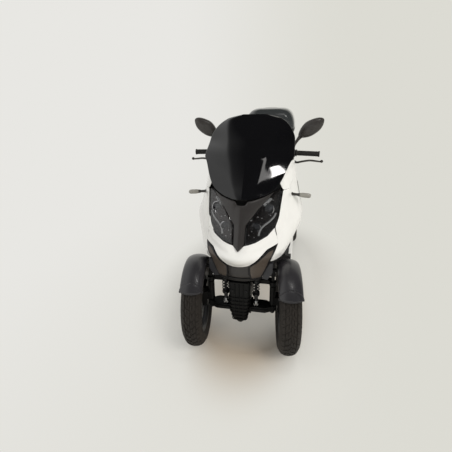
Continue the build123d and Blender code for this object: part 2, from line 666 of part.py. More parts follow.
def floor():
    """Footboards each side of the tunnel, as one plate."""
    plate = block((-FLOOR_HALF_W, FLOOR_HALF_W), (FLOOR_FRONT_Y, FLOOR_REAR_Y),
                  (FLOOR_Z, FLOOR_Z + FLOOR_T))
    return plate


def tunnel():
    """Hollow cover along the middle, over the tank."""
    low = FLOOR_Z + FLOOR_T
    rows = [(476, 60, 470), (640, 84, 500), (FLOOR_REAR_Y - 6, 96, 520)]

    def face(y, half, top, wall):
        points = [(-half - 14 + wall, low), (-half + wall, top - wall), (half - wall, top - wall),
                  (half + 14 - wall, low)]
        return make_face(Polyline(*[(x, y, z) for x, z in points], close=True))

    outer = loft([face(*row, 0) for row in rows], ruled=True)
    inner = loft([face(rows[0][0] + SKIN, *rows[0][1:], SKIN), face(*rows[1], SKIN),
                  face(*rows[2], SKIN)], ruled=True)
    return outer - inner


def side_skirt():
    """Left skirt below the footboard's edge."""
    outline = [(FLOOR_HALF_W + TOUCH, 344), (272, 338), (266, 262), (FLOOR_HALF_W - 4, 244),
               (FLOOR_HALF_W - 4, 252), (FLOOR_HALF_W + TOUCH, 272)]
    return prism_y(outline, FLOOR_FRONT_Y + 30, FLOOR_REAR_Y + 30)


def bucket():
    """Storage bucket under the seat, open above."""
    outer = block((-BUCKET_HALF_W, BUCKET_HALF_W), (BUCKET_FRONT_Y, BUCKET_REAR_Y),
                  (BUCKET_LOW_Z, BUCKET_TOP_Z))
    wall = BUCKET_WALL
    inner = block((-BUCKET_HALF_W + wall, BUCKET_HALF_W - wall),
                  (BUCKET_FRONT_Y + wall, BUCKET_REAR_Y - wall), (BUCKET_LOW_Z + wall, 900))
    rim_edge = block((-BUCKET_HALF_W - 9, BUCKET_HALF_W + 9), (BUCKET_FRONT_Y - 9, BUCKET_REAR_Y + 9),
                     (BUCKET_TOP_Z - wall, BUCKET_TOP_Z))
    shape = outer + rim_edge - inner
    rail_z = 520 + (690 - 520) * (1215 - 1010) / (1440 - 1010)
    lug = (rail_z - 12, rail_z + 12)
    reach = SEAT_RAIL_X - RAIL_R - TOUCH
    shape += block((BUCKET_HALF_W, reach), (1200, 1230), lug)
    shape += block((-reach, -BUCKET_HALF_W), (1200, 1230), lug)
    y, z = SEAT_HINGE_Y, SEAT_HINGE_Z
    for x0, x1 in ((-78, -64), (64, 78)):
        shape += block((x0, x1), (y - 9, BUCKET_FRONT_Y), (z - 13, BUCKET_TOP_Z))
    return shape + rod((-78, y, z), (78, y, z), HINGE_PIN_R)


def tail_section(row, wall, rise):
    """A cross section of the tail body, or of its hollow when it has a wall."""
    y, half, low, top = row
    half -= wall
    mid = (low + top) / 2
    points = [(half * 0.78, low - rise), (half, mid), (half * 0.97, top - 40), (half * 0.86, top + rise)]
    return make_face(Polyline(*[(x, y, z) for x, z in mirrored(points)], close=True))


def tail_form():
    """The solid outer form of the tail body."""
    return loft([tail_section(row, 0, 0) for row in TAIL_ROWS], ruled=True)


def tail_hollow():
    """The hollow inside the tail body, open at both ends, above and below."""
    first, last = TAIL_ROWS[0], TAIL_ROWS[-1]
    rows = [(first[0] - 5, *first[1:]), *TAIL_ROWS[1:-1], (last[0] + 5, *last[1:])]
    return loft([tail_section(row, SKIN, 60) for row in rows], ruled=True)


def tail_panels():
    """Two tail sides and the piece that closes them behind the seat."""
    outer = tail_form()
    shell = outer - tail_hollow()
    split_y = 1700
    left = shell & block((20, 400), (700, split_y - PANEL_GAP / 2), (300, 1000))
    rear = outer & block((-400, 400), (split_y + PANEL_GAP / 2, 2000), (300, 1000))
    hollow = loft([tail_section((y, half - SKIN, low, top - SKIN), 0, 0) for y, half, low, top in
                   ((1690, 168, 640, 868), (1750, 150, 660, 872), (1876, 92, 720, 862))], ruled=True)
    return left, rear - hollow


def seat_part(section):
    """A ruled body through one closed X and Z outline at each row of the seat."""
    faces = [make_face(Polyline(*[(x, row[0], z) for x, z in section(*row[1:])], close=True))
             for row in SEAT_ROWS]
    return loft(faces, ruled=True)


def seat_pan():
    """Hard base of the seat with its hinge tongue."""
    shape = seat_part(lambda half, low, split, top: [
        (-half, low), (half, low), (half - 4, split), (-half + 4, split)])
    y, z, reach = SEAT_HINGE_Y, SEAT_HINGE_Z, 60
    shape += block((-reach, reach), (y - 9, SEAT_ROWS[0][0] + 30), (SEAT_ROWS[0][2], SEAT_ROWS[0][2] + 10))
    shape += block((-reach, reach), (y - 9, y + 9), (z, SEAT_ROWS[0][2] + 10))
    shape += rod((-reach, y, z), (reach, y, z), 9)
    return shape - rod((-reach - 9, y, z), (reach + 9, y, z), HINGE_PIN_R + RUNNING)


def seat_cushion():
    """Stepped two-person cushion."""
    return seat_part(lambda half, low, split, top: [
        (-half + 10, split + TOUCH), (half - 10, split + TOUCH), (half, split + 16),
        (half - 18, top - 8), (half * 0.4, top), (-half * 0.4, top), (-half + 18, top - 8),
        (-half, split + 16)])


def case_face(y, x, z, radius):
    """A rounded level face between pairs of Y and half widths."""
    return rounded_face((-x, x), y, z, radius)


def top_case():
    """Base and lid of the top case, both hollow, hinged at the front."""
    front, rear, half = CASE_FRONT_Y, CASE_REAR_Y, CASE_HALF_W
    wall, split, gap = CASE_WALL, CASE_SPLIT_Z, 3.0
    outer_low = [case_face((front + 46, rear - 60), half - 60, CASE_LOW_Z, 50),
                 case_face((front + 6, rear - 14), half - 8, split - 50, 66),
                 case_face((front, rear), half, split - gap, 70)]
    inner_low = [case_face((front + 46 + wall, rear - 60 - wall), half - 60 - wall, CASE_LOW_Z + wall, 45),
                 case_face((front + 6 + wall, rear - 14 - wall), half - 8 - wall, split - 50, 61),
                 case_face((front + wall, rear - wall), half - wall, split, 65)]
    base = loft(outer_low, ruled=True) - loft(inner_low, ruled=True)
    top = CASE_TOP_Z
    outer_top = [case_face((front, rear), half, split + gap, 70),
                 case_face((front + 8, rear - 10), half - 6, top - 74, 70),
                 case_face((front + 24, rear - 24), half - 20, top - 36, 70),
                 case_face((front + 52, rear - 52), half - 58, top - 12, 70),
                 case_face((front + 100, rear - 100), half - 118, top, 60)]
    inner_top = [case_face((front + wall, rear - wall), half - wall, split, 65),
                 case_face((front + 8 + wall, rear - 10 - wall), half - 6 - wall, top - 74 - wall, 65),
                 case_face((front + 30, rear - 30), half - 26, top - 36 - wall, 64),
                 case_face((front + 60, rear - 60), half - 66, top - 12 - wall, 60)]
    lid = loft(outer_top, ruled=True) - loft(inner_top, ruled=True)
    hinge_y, hinge_z = CASE_HINGE_Y, CASE_HINGE_Z
    for x0, x1 in ((-120, -80), (80, 120)):
        lid += rod((x0, hinge_y, hinge_z), (x1, hinge_y, hinge_z), 7)
        lid += block((x0, x1), (hinge_y, front + 4), (hinge_z, hinge_z + 7))
        lid -= rod((x0 - 1, hinge_y, hinge_z), (x1 + 1, hinge_y, hinge_z), 3 + RUNNING)
        lid -= block((x0, x1), (hinge_y + 8, front + wall), (hinge_z - 8, hinge_z + gap - 0.001))
        base += rod((x0 - 14, hinge_y, hinge_z), (x1 + 14, hinge_y, hinge_z), 3)
        for end in (x0 - 14, x1 + 1):
            base += block((end, end + 13), (hinge_y - 6, front + 3), (hinge_z - 24, hinge_z + 2))
    return base, lid


def rack():
    """Carrier under the top case and grab rails beside the seat, as one casting."""
    plate = block((-96, 96), (1560, 1850), (RACK_Z, RACK_Z + 16))
    plate += block((-80, 80), (1590, 1800), (RACK_Z + 16, CASE_LOW_Z - TOUCH))
    left = tube([(90, 1600, RACK_Z + 4), (196, 1560, 918), (206, 1420, 888), (SEAT_RAIL_X, 1330, 810),
                 (SEAT_RAIL_X, 1330, 640)], 12, 30)
    left += block((90, 133), (1668, 1692), (RACK_Z, RACK_Z + 16))
    left += rod((121, 1680, RACK_Z + 4), (121, 1680, 762), 12)
    return plate + both_fused(left - frame_rail(RAIL_R + TOUCH))


def both_fused(shape):
    """A piece joined with its mirror image."""
    return shape + mirror(shape, about=Plane.YZ)


def rear_end():
    """Swing arms with stub axles, shock absorbers and mudguards for the rear wheels."""
    x0, x1 = ARM_X - ARM_W / 2, ARM_X + ARM_W / 2
    half = ARM_H / 2
    arm = prism_x([(ARM_PIVOT_Y - 34, ARM_PIVOT_Z - half), (WHEELBASE + 30, TYRE_R - half),
                   (WHEELBASE + 30, TYRE_R + half), (ARM_PIVOT_Y - 34, ARM_PIVOT_Z + half)], x0, x1)
    arm += rod((ENGINE_HALF_W + TOUCH, ARM_PIVOT_Y, ARM_PIVOT_Z), (x0 + 5, ARM_PIVOT_Y, ARM_PIVOT_Z), 30)
    arm += rod((x1 - 5, WHEELBASE, TYRE_R), (REAR_HALF_TRACK + RIM_W / 2 + 4, WHEELBASE, TYRE_R), AXLE_R)
    save("rear_arms", both(arm))
    foot = (ARM_X, 1500, TYRE_R + 84)
    shock = rod(foot, (ARM_X, 1478, 600), 24)
    shock += block((ARM_X - 10, ARM_X + 10), (1486, 1514), (TYRE_R, TYRE_R + 96))
    shock += rod((ARM_X, 1478, 590), (SEAT_RAIL_X - 8, 1474, 700), 11)
    save("rear_shocks", both(shock - arm - frame_rail(RAIL_R + TOUCH)))
    guard = Pos(REAR_HALF_TRACK, WHEELBASE, TYRE_R) * fender(62, 82)
    inner = REAR_HALF_TRACK - FENDER_HALF_W
    edge_z = TYRE_R + FENDER_R - FENDER_DROP
    stay_y = (WHEELBASE + AXLE_R + 2, WHEELBASE + AXLE_R + 26)
    guard += block((x1 + TOUCH, x1 + 12), stay_y, (TYRE_R - 16, edge_z - 4))
    guard += block((x1 + 6, inner + 3), stay_y, (edge_z - 14, edge_z + 2))
    save("rear_fenders", both(guard))


def exhaust():
    """Silencer between the rear wheels on the right, with its pipe from the engine."""
    can = rod((-64, 1500, 470), (-64, 1840, 560), 56)
    pipe = tube([(-60, ENGINE_REAR_Y + TOUCH, 360), (-60, 1480, 360), (-64, 1500, 420), (-64, 1530, 478)], 19, 12)
    tip = rod((-64, 1835, 558.7), (-64, 1862, 565.8), 24) - rod((-64, 1840, 560), (-64, 1870, 568), 20)
    return can + pipe + tip


def rear_details():
    """Tail lamp, number plate carrier and rear indicators."""
    end = TAIL_ROWS[-1][0] + TOUCH
    lamp = prism_x([(end, 768), (end + 20, 786), (end + 18, 842), (end, 850)], -82, 82)
    save("tail_lamp", lamp)
    y, z, _ = TAIL_TUBE
    arm = tube([(0, y, z), (0, y + 40, 720), (0, PLATE_Y - 40, 620), (0, PLATE_Y + 2, 620)], 10, 20)
    board = block((-105, 105), (PLATE_Y, PLATE_Y + 4), (500, 660))
    for x in (-PLATE_BOLT_X, PLATE_BOLT_X):
        board -= rod((x, PLATE_Y - 10, PLATE_BOLT_Z), (x, PLATE_Y + 10, PLATE_BOLT_Z), PLATE_BOLT_R)
    save("plate_carrier", board + (arm - rod((-90, y, z), (90, y, z), RAIL_R - 4 + TOUCH)))
    pod = rod((70, 1858, 800), (164, 1876, 806), 15)
    save("rear_indicators", both(pod - tail_form()))


def front_indicators(outer):
    """Indicator pods that stand out from the flanks."""
    faces = [Plane(origin=(x, y, z), x_dir=(0, 1, 0), z_dir=(1, 0, 0)) * Ellipse(deep, high)
             for x, y, z, deep, high in ((250, 242, 876, 28, 16), (325, 238, 872, 24, 15),
                                         (363, 237, 869, 12, 9))]
    return both(loft(faces, ruled=True) - outer)


def bar_point(x):
    """A point on the straight outer run of the left handlebar."""
    share = (x - BAR_BEND[0]) / (GRIP_END_X - BAR_BEND[0])
    return (x, BAR_BEND[1] + (GRIP_Y - BAR_BEND[1]) * share, BAR_BEND[2] + (GRIP_Z - BAR_BEND[2]) * share)


def bar_run(x0, x1, radius):
    """A round length of the left handlebar's outer run."""
    return rod(bar_point(x0), bar_point(x1), radius)


def handlebar():
    """Stem, bar and central cover of the steering."""
    shape = rod(steer_axis(HEAD_LOW_Z + 20), steer_axis(1020), STEM_R)
    bar = tube([(0, 598, 1030), (120, 606, 1046), BAR_BEND, bar_point(GRIP_END_X - 4)], BAR_R, 50)
    bar -= bar_run(GRIP_END_X - 30, GRIP_END_X, BAR_BORE_R)
    cover = loft([Plane(origin=(0, y, z), x_dir=(1, 0, 0), z_dir=(0, 0.3, 1)) *
                  RectangleRounded(wide, deep, 20) for y, z, wide, deep in
                  ((590, 985, 120, 70), (598, 1024, 240, 92), (600, 1062, 170, 70))], ruled=True)
    return shape + both_fused(bar) + cover


def lever():
    """Left control lever with its clamp and fluid tank."""
    pod = (GRIP_IN_X - 32, GRIP_IN_X - TOUCH)
    middle = bar_point(sum(pod) / 2)
    shape = bar_run(*pod, 21)
    shape += block((pod[0] + 4, pod[1] - 4), (middle[1] - 30, middle[1]), (middle[2] - 44, middle[2]))
    shape += tube([(248, 566, 1018), (300, 548, 1008), (425, 553, 1011)], 6, 26)
    shape += Pos(425, 553, 1011) * Sphere(9)
    return shape - bar_run(pod[0] - 8, pod[1] + 20, BAR_R + TOUCH)


def mirror_parts():
    """Left mirror housing on its stalk, and the glass."""
    foot = bar_point(GRIP_IN_X - 16)
    x, y, z = MIRROR_AT
    root = (x + MIRROR_LEAF[0][0] * 0.8, y, z + MIRROR_LEAF[0][1] * 0.8)
    stalk = tube([(foot[0], foot[1], foot[2] + 12), (foot[0], foot[1], foot[2] + 42),
                  (root[0] - 22, y - 2, root[2] - 22), root], 7, 14)
    stalk -= bar_run(GRIP_IN_X - 60, GRIP_IN_X + 30, 21 + TOUCH)

    def leaf(back, share):
        outline = [(x + a * share, y + back, z + b * share) for a, b in MIRROR_LEAF]
        return make_face(Spline(*outline, periodic=True))

    shell = loft([leaf(-26, 0.5), leaf(-14, 0.88), leaf(2, 1.0), leaf(14, 0.97)], ruled=True)
    glass = extrude(leaf(14 + TOUCH, 0.88), amount=3, dir=(0, 1, 0))
    return stalk + shell, glass


def controls():
    """Grips, levers and mirrors on both ends of the bar."""
    grip = bar_run(GRIP_IN_X, GRIP_END_X, GRIP_R) - bar_run(GRIP_IN_X - 9, GRIP_END_X + 9, BAR_R + TOUCH)
    save("grips", parked_bar(both(grip)))
    save("brake_levers", parked_bar(both(lever())))
    housing, glass = mirror_parts()
    save("mirrors", parked_bar(both(housing)))
    save("mirror_glasses", parked_bar(both(glass)))


def build_all():
    """Writes every piece."""
    os.makedirs("parts", exist_ok=True)
    wheels()
    front_suspension()
    knuckles()
    save("main_frame", main_frame())
    front_panels()
    save("windscreen", screen_form(0, SCREEN_T))
    save("dashboard", dashboard())
    save("leg_shield", leg_shield())
    save("footboards", floor())
    save("tunnel_cover", tunnel())
    save("side_skirts", both(side_skirt()))
    save("engine", block((-ENGINE_HALF_W, ENGINE_HALF_W), (ENGINE_FRONT_Y, ENGINE_REAR_Y),
                         (ENGINE_LOW_Z, ENGINE_TOP_Z)))
    save("storage_bucket", bucket())
    tail_left, tail_rear = tail_panels()
    save("tail_sides", both(tail_left))
    save("tail_centre", tail_rear)
    save("seat_pan", seat_pan())
    save("seat_cushion", seat_cushion())
    case_base, case_lid = top_case()
    save("case_base", case_base)
    save("case_lid", case_lid)
    save("rear_rack", rack())
    rear_end()
    save("exhaust", exhaust())
    rear_details()
    save("handlebar", parked_bar(handlebar()))
    controls()


build_all()
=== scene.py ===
"""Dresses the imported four-wheeled tilting scooter: panels, glass, tyres, seat, controls and finishes."""
from __future__ import annotations

import logging
import math
from dataclasses import dataclass, field
from enum import Enum
from functools import cache
from typing import Any, Callable, Sequence

import bmesh
import bpy
import numpy as np
from mathutils import Matrix, Vector
from mathutils.geometry import delaunay_2d_cdt

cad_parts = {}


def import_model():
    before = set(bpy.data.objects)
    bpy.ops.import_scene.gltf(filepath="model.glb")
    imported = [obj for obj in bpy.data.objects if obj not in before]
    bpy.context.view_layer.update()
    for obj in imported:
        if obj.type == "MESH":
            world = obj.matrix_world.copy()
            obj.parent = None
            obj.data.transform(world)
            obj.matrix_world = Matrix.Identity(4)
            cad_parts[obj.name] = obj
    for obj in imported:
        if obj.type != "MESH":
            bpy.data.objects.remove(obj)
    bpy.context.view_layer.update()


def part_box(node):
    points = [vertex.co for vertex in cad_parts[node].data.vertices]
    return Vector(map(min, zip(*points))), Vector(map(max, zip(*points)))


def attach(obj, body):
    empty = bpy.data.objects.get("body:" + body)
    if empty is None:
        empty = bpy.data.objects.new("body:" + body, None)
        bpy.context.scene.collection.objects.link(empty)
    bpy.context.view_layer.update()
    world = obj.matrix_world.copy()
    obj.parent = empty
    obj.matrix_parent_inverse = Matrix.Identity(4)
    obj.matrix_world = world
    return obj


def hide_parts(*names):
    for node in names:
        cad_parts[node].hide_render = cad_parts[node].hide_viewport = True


log = logging.getLogger("scooter")
Points = np.ndarray
Tree, Socket, Mesh, Thing, Material = (bpy.types.NodeTree, bpy.types.NodeSocket, bpy.types.Mesh,
    bpy.types.Object, bpy.types.Material)
Pair = tuple[float, float]
MM = 0.001
WELD = 1e-5
CREASE_DEG = 34.0
SIDES = ((1, "left"), (-1, "right"))


# ---- Materials ----

def linear(code: str) -> tuple[float, float, float, float]:
    """Turns six hex digits of sRGB to linear red, green and blue, with full opacity."""
    values = [int(code[i:i + 2], 16) / 255 for i in (0, 2, 4)]
    return (*[v / 12.92 if v <= 0.04045 else ((v + 0.055) / 1.055) ** 2.4 for v in values], 1.0)


def add_node(tree: Tree, kind: str, inputs: dict[Any, Any] | None = None, **settings: Any) -> bpy.types.Node:
    """Adds a node, sets it and links it.

    Args:
        tree: Node tree that gets the node.
        kind: The node's type name.
        inputs: Value, or output socket to link, for each input by name or number.
        settings: The node's own properties.

    Returns:
        The new node.
    """
    made = tree.nodes.new(kind)
    for key, value in settings.items():
        setattr(made, key, value)
    for key, value in (inputs or {}).items():
        if isinstance(value, Socket):
            tree.links.new(value, made.inputs[key])
        else:
            made.inputs[key].default_value = value
    return made


def maths(tree: Tree, operation: str, first: Any, second: Any) -> Socket:
    """Works out two values or sockets by one operation."""
    return add_node(tree, "ShaderNodeMath", {0: first, 1: second}, operation=operation).outputs[0]


class Grain(Enum):
    """How a surface was made, which sets its texture."""

    POLISHED = "polished"
    MOULDED = "moulded"
    CAST = "cast"
    BRUSHED = "brushed"
    LEATHER = "leather"
    RUBBER = "rubber"
    FACETED = "faceted"
    MESHED = "meshed"


@dataclass(frozen=True)
class Finish:
    """One real material with its colour, gloss and surface texture."""

    name: str
    slot: str
    colour: str
    second: str
    roughness: float
    grain: Grain = Grain.POLISHED
    grain_mm: float = 1.2
    depth_mm: float = 0.06
    metallic: float = 0.0
    ior: float = 1.5
    coat: float = 0.0
    clear: float = 0.0
    alpha: float = 1.0
    mottle_mm: float = 90.0
    wander: float = 0.06

    def build(self) -> Material:
        """Makes the material, or returns it if it is there already."""
        known = bpy.data.materials.get(self.name)
        if known is not None:
            return known
        made = bpy.data.materials.new(self.name)
        made.use_nodes = True
        tree = made.node_tree
        tree.nodes.clear()
        place = add_node(tree, "ShaderNodeTexCoord").outputs["Object"]
        cloud = add_node(tree, "ShaderNodeTexNoise", {"Vector": place, "Scale": 1000 / self.mottle_mm,
            "Detail": 3.0, "Roughness": 0.6})
        tint = add_node(tree, "ShaderNodeMix", {0: cloud.outputs["Fac"], 6: linear(self.colour),
            7: linear(self.second)}, data_type="RGBA")
        rough = add_node(tree, "ShaderNodeMapRange", {"Value": cloud.outputs["Fac"],
            "To Min": max(0.0, self.roughness - self.wander), "To Max": self.roughness + self.wander})
        shader = add_node(tree, "ShaderNodeBsdfPrincipled", {"Base Color": tint.outputs[2],
            "Roughness": rough.outputs["Result"], "Metallic": self.metallic, "Coat Weight": self.coat,
            "Transmission Weight": self.clear, "Alpha": self.alpha})
        if not self.metallic:
            shader.inputs["IOR"].default_value = self.ior
        shader.inputs["Coat Roughness"].default_value = 0.04
        height = self.height(tree, place)
        if height is not None:
            bump = add_node(tree, "ShaderNodeBump", {"Height": height, "Strength": 1.0,
                "Distance": self.depth_mm * MM})
            tree.links.new(bump.outputs["Normal"], shader.inputs["Normal"])
        add_node(tree, "ShaderNodeOutputMaterial", {"Surface": shader.outputs["BSDF"]})
        made.diffuse_color = linear(self.colour)
        return made

    def height(self, tree: Tree, place: Socket) -> Socket | None:
        """Adds the texture that the surface's grain needs.

        Args:
            tree: The material's node tree.
            place: Object coordinates.

        Returns:
            Height socket for the bump, or None on a polished surface.
        """
        scale = 1000 / self.grain_mm
        if self.grain is Grain.POLISHED:
            return None
        if self.grain in (Grain.CAST, Grain.RUBBER):
            return add_node(tree, "ShaderNodeTexNoise", {"Vector": place, "Scale": scale, "Detail": 5.0,
                "Roughness": 0.65}).outputs["Fac"]
        if self.grain is Grain.BRUSHED:
            turned = add_node(tree, "ShaderNodeMapping", {"Vector": place, "Scale": (0.06, 1.0, 1.0)})
            return add_node(tree, "ShaderNodeTexNoise", {"Vector": turned.outputs["Vector"], "Scale": scale,
                "Detail": 4.0}).outputs["Fac"]
        feature = {Grain.FACETED: "F1", Grain.MESHED: "DISTANCE_TO_EDGE"}.get(self.grain, "SMOOTH_F1")
        cells = add_node(tree, "ShaderNodeTexVoronoi", {"Vector": place, "Scale": scale}, feature=feature)
        return cells.outputs["Distance"]


# Gloss lacquer over injection-moulded ABS: sharp reflections, almost no texture.
WHITE_LACQUER = Finish("white_lacquered_abs", "white_paint", "f1f0ec", "edece8", 0.16, coat=0.5, wander=0.02)
# Satin warm-grey moulded trim: broad soft highlights.
SATIN_TRIM = Finish("satin_moulded_trim", "dark_satin", "343130", "2d2b2a", 0.36, Grain.MOULDED, 0.9, 0.02)
# Unpainted moulded polypropylene: dull black with a fine grain.
BLACK_MOULDING = Finish("grained_black_polypropylene", "black_plastic", "1c1b1c", "171617", 0.52,
    Grain.MOULDED, 1.1, 0.05)
# A lighter copy of the black moulding, for where it faces the front: painted light, a cool dark grey with a
# little sheen.
FRONT_LIT_MOULDING = Finish("slate_moulded_apron", "black_plastic", "323236", "29292d", 0.4, Grain.MOULDED, 1.1,
    0.04)
# Wing inserts: brown-grey moulding with a woven-looking relief, drawn coarser than life so that it shows.
WING_MOULDING = Finish("relief_moulded_wing", "grille_mesh", "5a5047", "47403a", 0.4, Grain.MESHED, 5.0, 0.25)
# Semi-gloss moulded mudguards: dark grey with a blue cast where they catch the light.
GUARD_MOULDING = Finish("semi_gloss_moulded_mudguard", "fender_grey", "2f2e30", "28272a", 0.32, Grain.MOULDED,
    1.0, 0.02, coat=0.1)
# Smoked polycarbonate: nearly black, with hard clear reflections.
SMOKED_SHEET = Finish("smoked_polycarbonate", "smoked_screen", "0a0a0c", "0d0d0f", 0.05, ior=1.58,
    wander=0.015)
# Hard-coated polycarbonate cover, thin and dark-tinted: see-through, with strong reflections.
LAMP_CLEAR = Finish("tinted_clear_polycarbonate", "lamp_lens", "121213", "0e0e0f", 0.02, ior=2.1, alpha=0.34,
    wander=0.01)
# Vacuum-metallised bowl: a dark mirror broken up by its facets.
LAMP_BOWL = Finish("metallised_lamp_bowl", "lamp_bowl", "2d2b2d", "4b4749", 0.2, Grain.FACETED, 14.0, 2.2,
    metallic=0.85)
# The same coating on the stepped reflector, dark between its glints.
LAMP_FACETS = Finish("metallised_stepped_reflector", "lamp_bowl", "5a5453", "6e6766", 0.16, metallic=1.0,
    wander=0.05)
# Bright chrome on moulded rings.
CHROME_RING = Finish("bright_chrome_ring", "lamp_bowl", "d9d9dc", "c9c9cc", 0.07, metallic=1.0, wander=0.02)
# Ground glass of the projectors.
LENS_GLASS = Finish("projector_glass", "lamp_bowl", "aab0b8", "9aa0a8", 0.03, ior=1.52, clear=0.75,
    wander=0.01)
# Light guide: frosted acrylic, white when unlit; the same white also paints the glints inside the lamps.
GUIDE_AND_GLINT_WHITE = Finish("frosted_light_guide", "lamp_bowl", "f4f5f7", "eceef0", 0.25)
# Vulcanised rubber: brown-black and dusty, with a fine tooth.
TYRE_RUBBER = Finish("vulcanised_tyre_rubber", "tyre", "2e2924", "1f1b18", 0.78, Grain.RUBBER, 2.0, 0.12,
    wander=0.08)
# Powder-coated die-cast aluminium.
WHEEL_CASTING = Finish("powder_coated_wheel_casting", "wheel_cast", "1e1e20", "18181a", 0.38, Grain.CAST, 1.5,
    0.03)
# Ground stainless steel.
BRAKE_STEEL = Finish("ground_disc_steel", "wheel_cast", "8f8f90", "7d7d7e", 0.28, Grain.BRUSHED, 1.2, 0.02,
    metallic=1.0)
# Black-coated cast iron, made darker than black paint as painted shade where it sits under the body: dull and
# rough.
ARM_CASTING = Finish("black_coated_casting", "suspension_black", "0d0d0c", "080808", 0.5, Grain.CAST, 2.2,
    0.12, ior=1.3)
# Black enamel on steel tube.
SHOCK_BODY = Finish("black_shock_body", "shock", "19191a", "131314", 0.35)
# Plastic-coated spring wire.
SPRING_STEEL = Finish("coated_spring_steel", "shock", "111112", "0c0c0d", 0.6)
# Machined bare steel.
BRIGHT_STEEL = Finish("machined_steel", "shock", "b4b4b4", "9c9c9c", 0.26, Grain.BRUSHED, 1.0, 0.01,
    metallic=1.0)
# Satin paint on welded tube.
FRAME_COAT = Finish("satin_frame_paint", "frame_paint", "161617", "111112", 0.42)
# Bare sand-cast aluminium.
ENGINE_CASTING = Finish("sand_cast_engine_alloy", "engine", "77777a", "606063", 0.48, Grain.CAST, 1.8, 0.08,
    metallic=0.9)
# Brushed stainless steel, slightly browned.
EXHAUST_STEEL = Finish("brushed_exhaust_steel", "exhaust_steel", "8d8a86", "76736f", 0.34, Grain.BRUSHED, 0.9,
    0.02, metallic=1.0)
# Black vinyl with a pebbled grain, drawn at about twice its real size so that it shows.
SEAT_VINYL = Finish("pebbled_black_vinyl", "seat_vinyl", "1e1c1b", "161514", 0.5, Grain.LEATHER, 2.6, 0.22)
# The same vinyl drawn over a cord.
SEAT_PIPING = Finish("vinyl_piping", "seat_vinyl", "2b2928", "242221", 0.45, Grain.LEATHER, 2.0, 0.1)
# Gloss-black moulded shell under lacquer, its colour lifted to a grey-green dark grey as painted sheen.
CASE_GLOSS = Finish("gloss_black_case_shell", "case_gloss", "363939", "3a3c3d", 0.18, coat=0.6, wander=0.03)
# Powder coat with a fine texture.
RACK_COAT = Finish("satin_black_rack", "rack_black", "171718", "121213", 0.4, Grain.CAST, 1.3, 0.03)
# Red acrylic lens.
RED_LENS = Finish("moulded_red_lens", "red_lens", "8c0f12", "7a0a0d", 0.08, ior=1.49, clear=0.25)
# Pale smoked acrylic lens.
PALE_LENS = Finish("moulded_pale_lens", "indicator_lens", "a7a49c", "96938c", 0.1, ior=1.49, clear=0.2)
# Moulded plate board, left blank.
PLATE_MOULDING = Finish("blank_plate_moulding", "plate_blank", "222224", "1c1c1e", 0.5, Grain.MOULDED, 1.0,
    0.04)
# Satin black paint on steel tube.
BAR_COAT = Finish("satin_bar_paint", "bar_metal", "1a1a1b", "141415", 0.36)
# Soft moulded rubber.
GRIP_RUBBER = Finish("ribbed_grip_rubber", "grip_rubber", "2c2b29", "242321", 0.66, Grain.RUBBER, 1.2, 0.08)
# Satin anodised forged aluminium.
LEVER_ALLOY = Finish("satin_anodised_lever", "lever_metal", "5c5955", "504d4a", 0.36, Grain.BRUSHED, 0.8,
    0.02, metallic=0.9)
# Satin moulded ABS, warm grey.
MIRROR_SHELL = Finish("satin_moulded_mirror_shell", "mirror_shell", "3b3835", "312e2c", 0.34, Grain.MOULDED,
    0.9, 0.02)
# Silvered float glass.
MIRROR_GLASS = Finish("silvered_mirror_glass", "mirror_glass", "cdd0d3", "c5c8cb", 0.02, metallic=1.0,
    wander=0.01)
# Printed card behind a clear dial.
DIAL_FACE = Finish("printed_dial_face", "black_plastic", "0b0b0c", "101011", 0.2)


# ---- Shapes ----

def around(count: int) -> Points:
    """Gives evenly spaced angles of a full turn."""
    return np.linspace(0, 2 * math.pi, count, endpoint=False)


def eased(knots: Sequence[float], values: Sequence[float], at: Points) -> Points:
    """Reads a smooth curve that doesn't overshoot between given values.

    Args:
        knots: Rising places.
        values: Value at each of them.
        at: Places to read.

    Returns:
        The curve's values there.
    """
    x, y, at = np.asarray(knots, float), np.asarray(values, float), np.asarray(at, float)
    step, rise = np.diff(x), np.diff(y) / np.diff(x)
    slope = np.zeros(len(x))
    slope[0], slope[-1] = rise[0], rise[-1]
    for i in range(1, len(x) - 1):
        if rise[i - 1] * rise[i] > 0:
            before, after = 2 * step[i] + step[i - 1], step[i] + 2 * step[i - 1]
            slope[i] = (before + after) / (before / rise[i - 1] + after / rise[i])
    i = np.clip(np.searchsorted(x, at, side="right") - 1, 0, len(x) - 2)
    t = (np.clip(at, x[0], x[-1]) - x[i]) / step[i]
    return ((2 * t ** 3 - 3 * t ** 2 + 1) * y[i] + (t ** 3 - 2 * t ** 2 + t) * step[i] * slope[i]
        + (3 * t ** 2 - 2 * t ** 3) * y[i + 1] + (t ** 3 - t ** 2) * step[i] * slope[i + 1])


def read_table(rows: Sequence[Sequence[float]], at: Any, picks: Sequence[int] = (1, 2, 3)) -> tuple[Any, ...]:
    """Reads columns of a table as smooth curves at places along its first column."""
    return tuple(eased([row[0] for row in rows], [row[k] for row in rows], at) for k in picks)


def curve_through(points: Sequence[Sequence[float]], count: int, closed: bool = False) -> Points:
    """Passes a smooth path through points.

    Args:
        points: Points to pass through.
        count: How many points to return.
        closed: Whether the path returns to its start.

    Returns:
        Points spaced along the path.
    """
    p = np.asarray(points, float)
    p = np.vstack([p[-1], p, p[0], p[1]]) if closed else np.vstack([2 * p[0] - p[1], p, 2 * p[-1] - p[-2]])
    spans = len(p) - 3
    out = []
    for t in np.linspace(0, spans, count, endpoint=not closed):
        i = min(int(t), spans - 1)
        u = t - i
        a, b, c, d = p[i:i + 4]
        out.append(0.5 * (2 * b + (c - a) * u + (2 * a - 5 * b + 4 * c - d) * u * u
            + (3 * b - a - 3 * c + d) * u ** 3))
    return np.array(out)


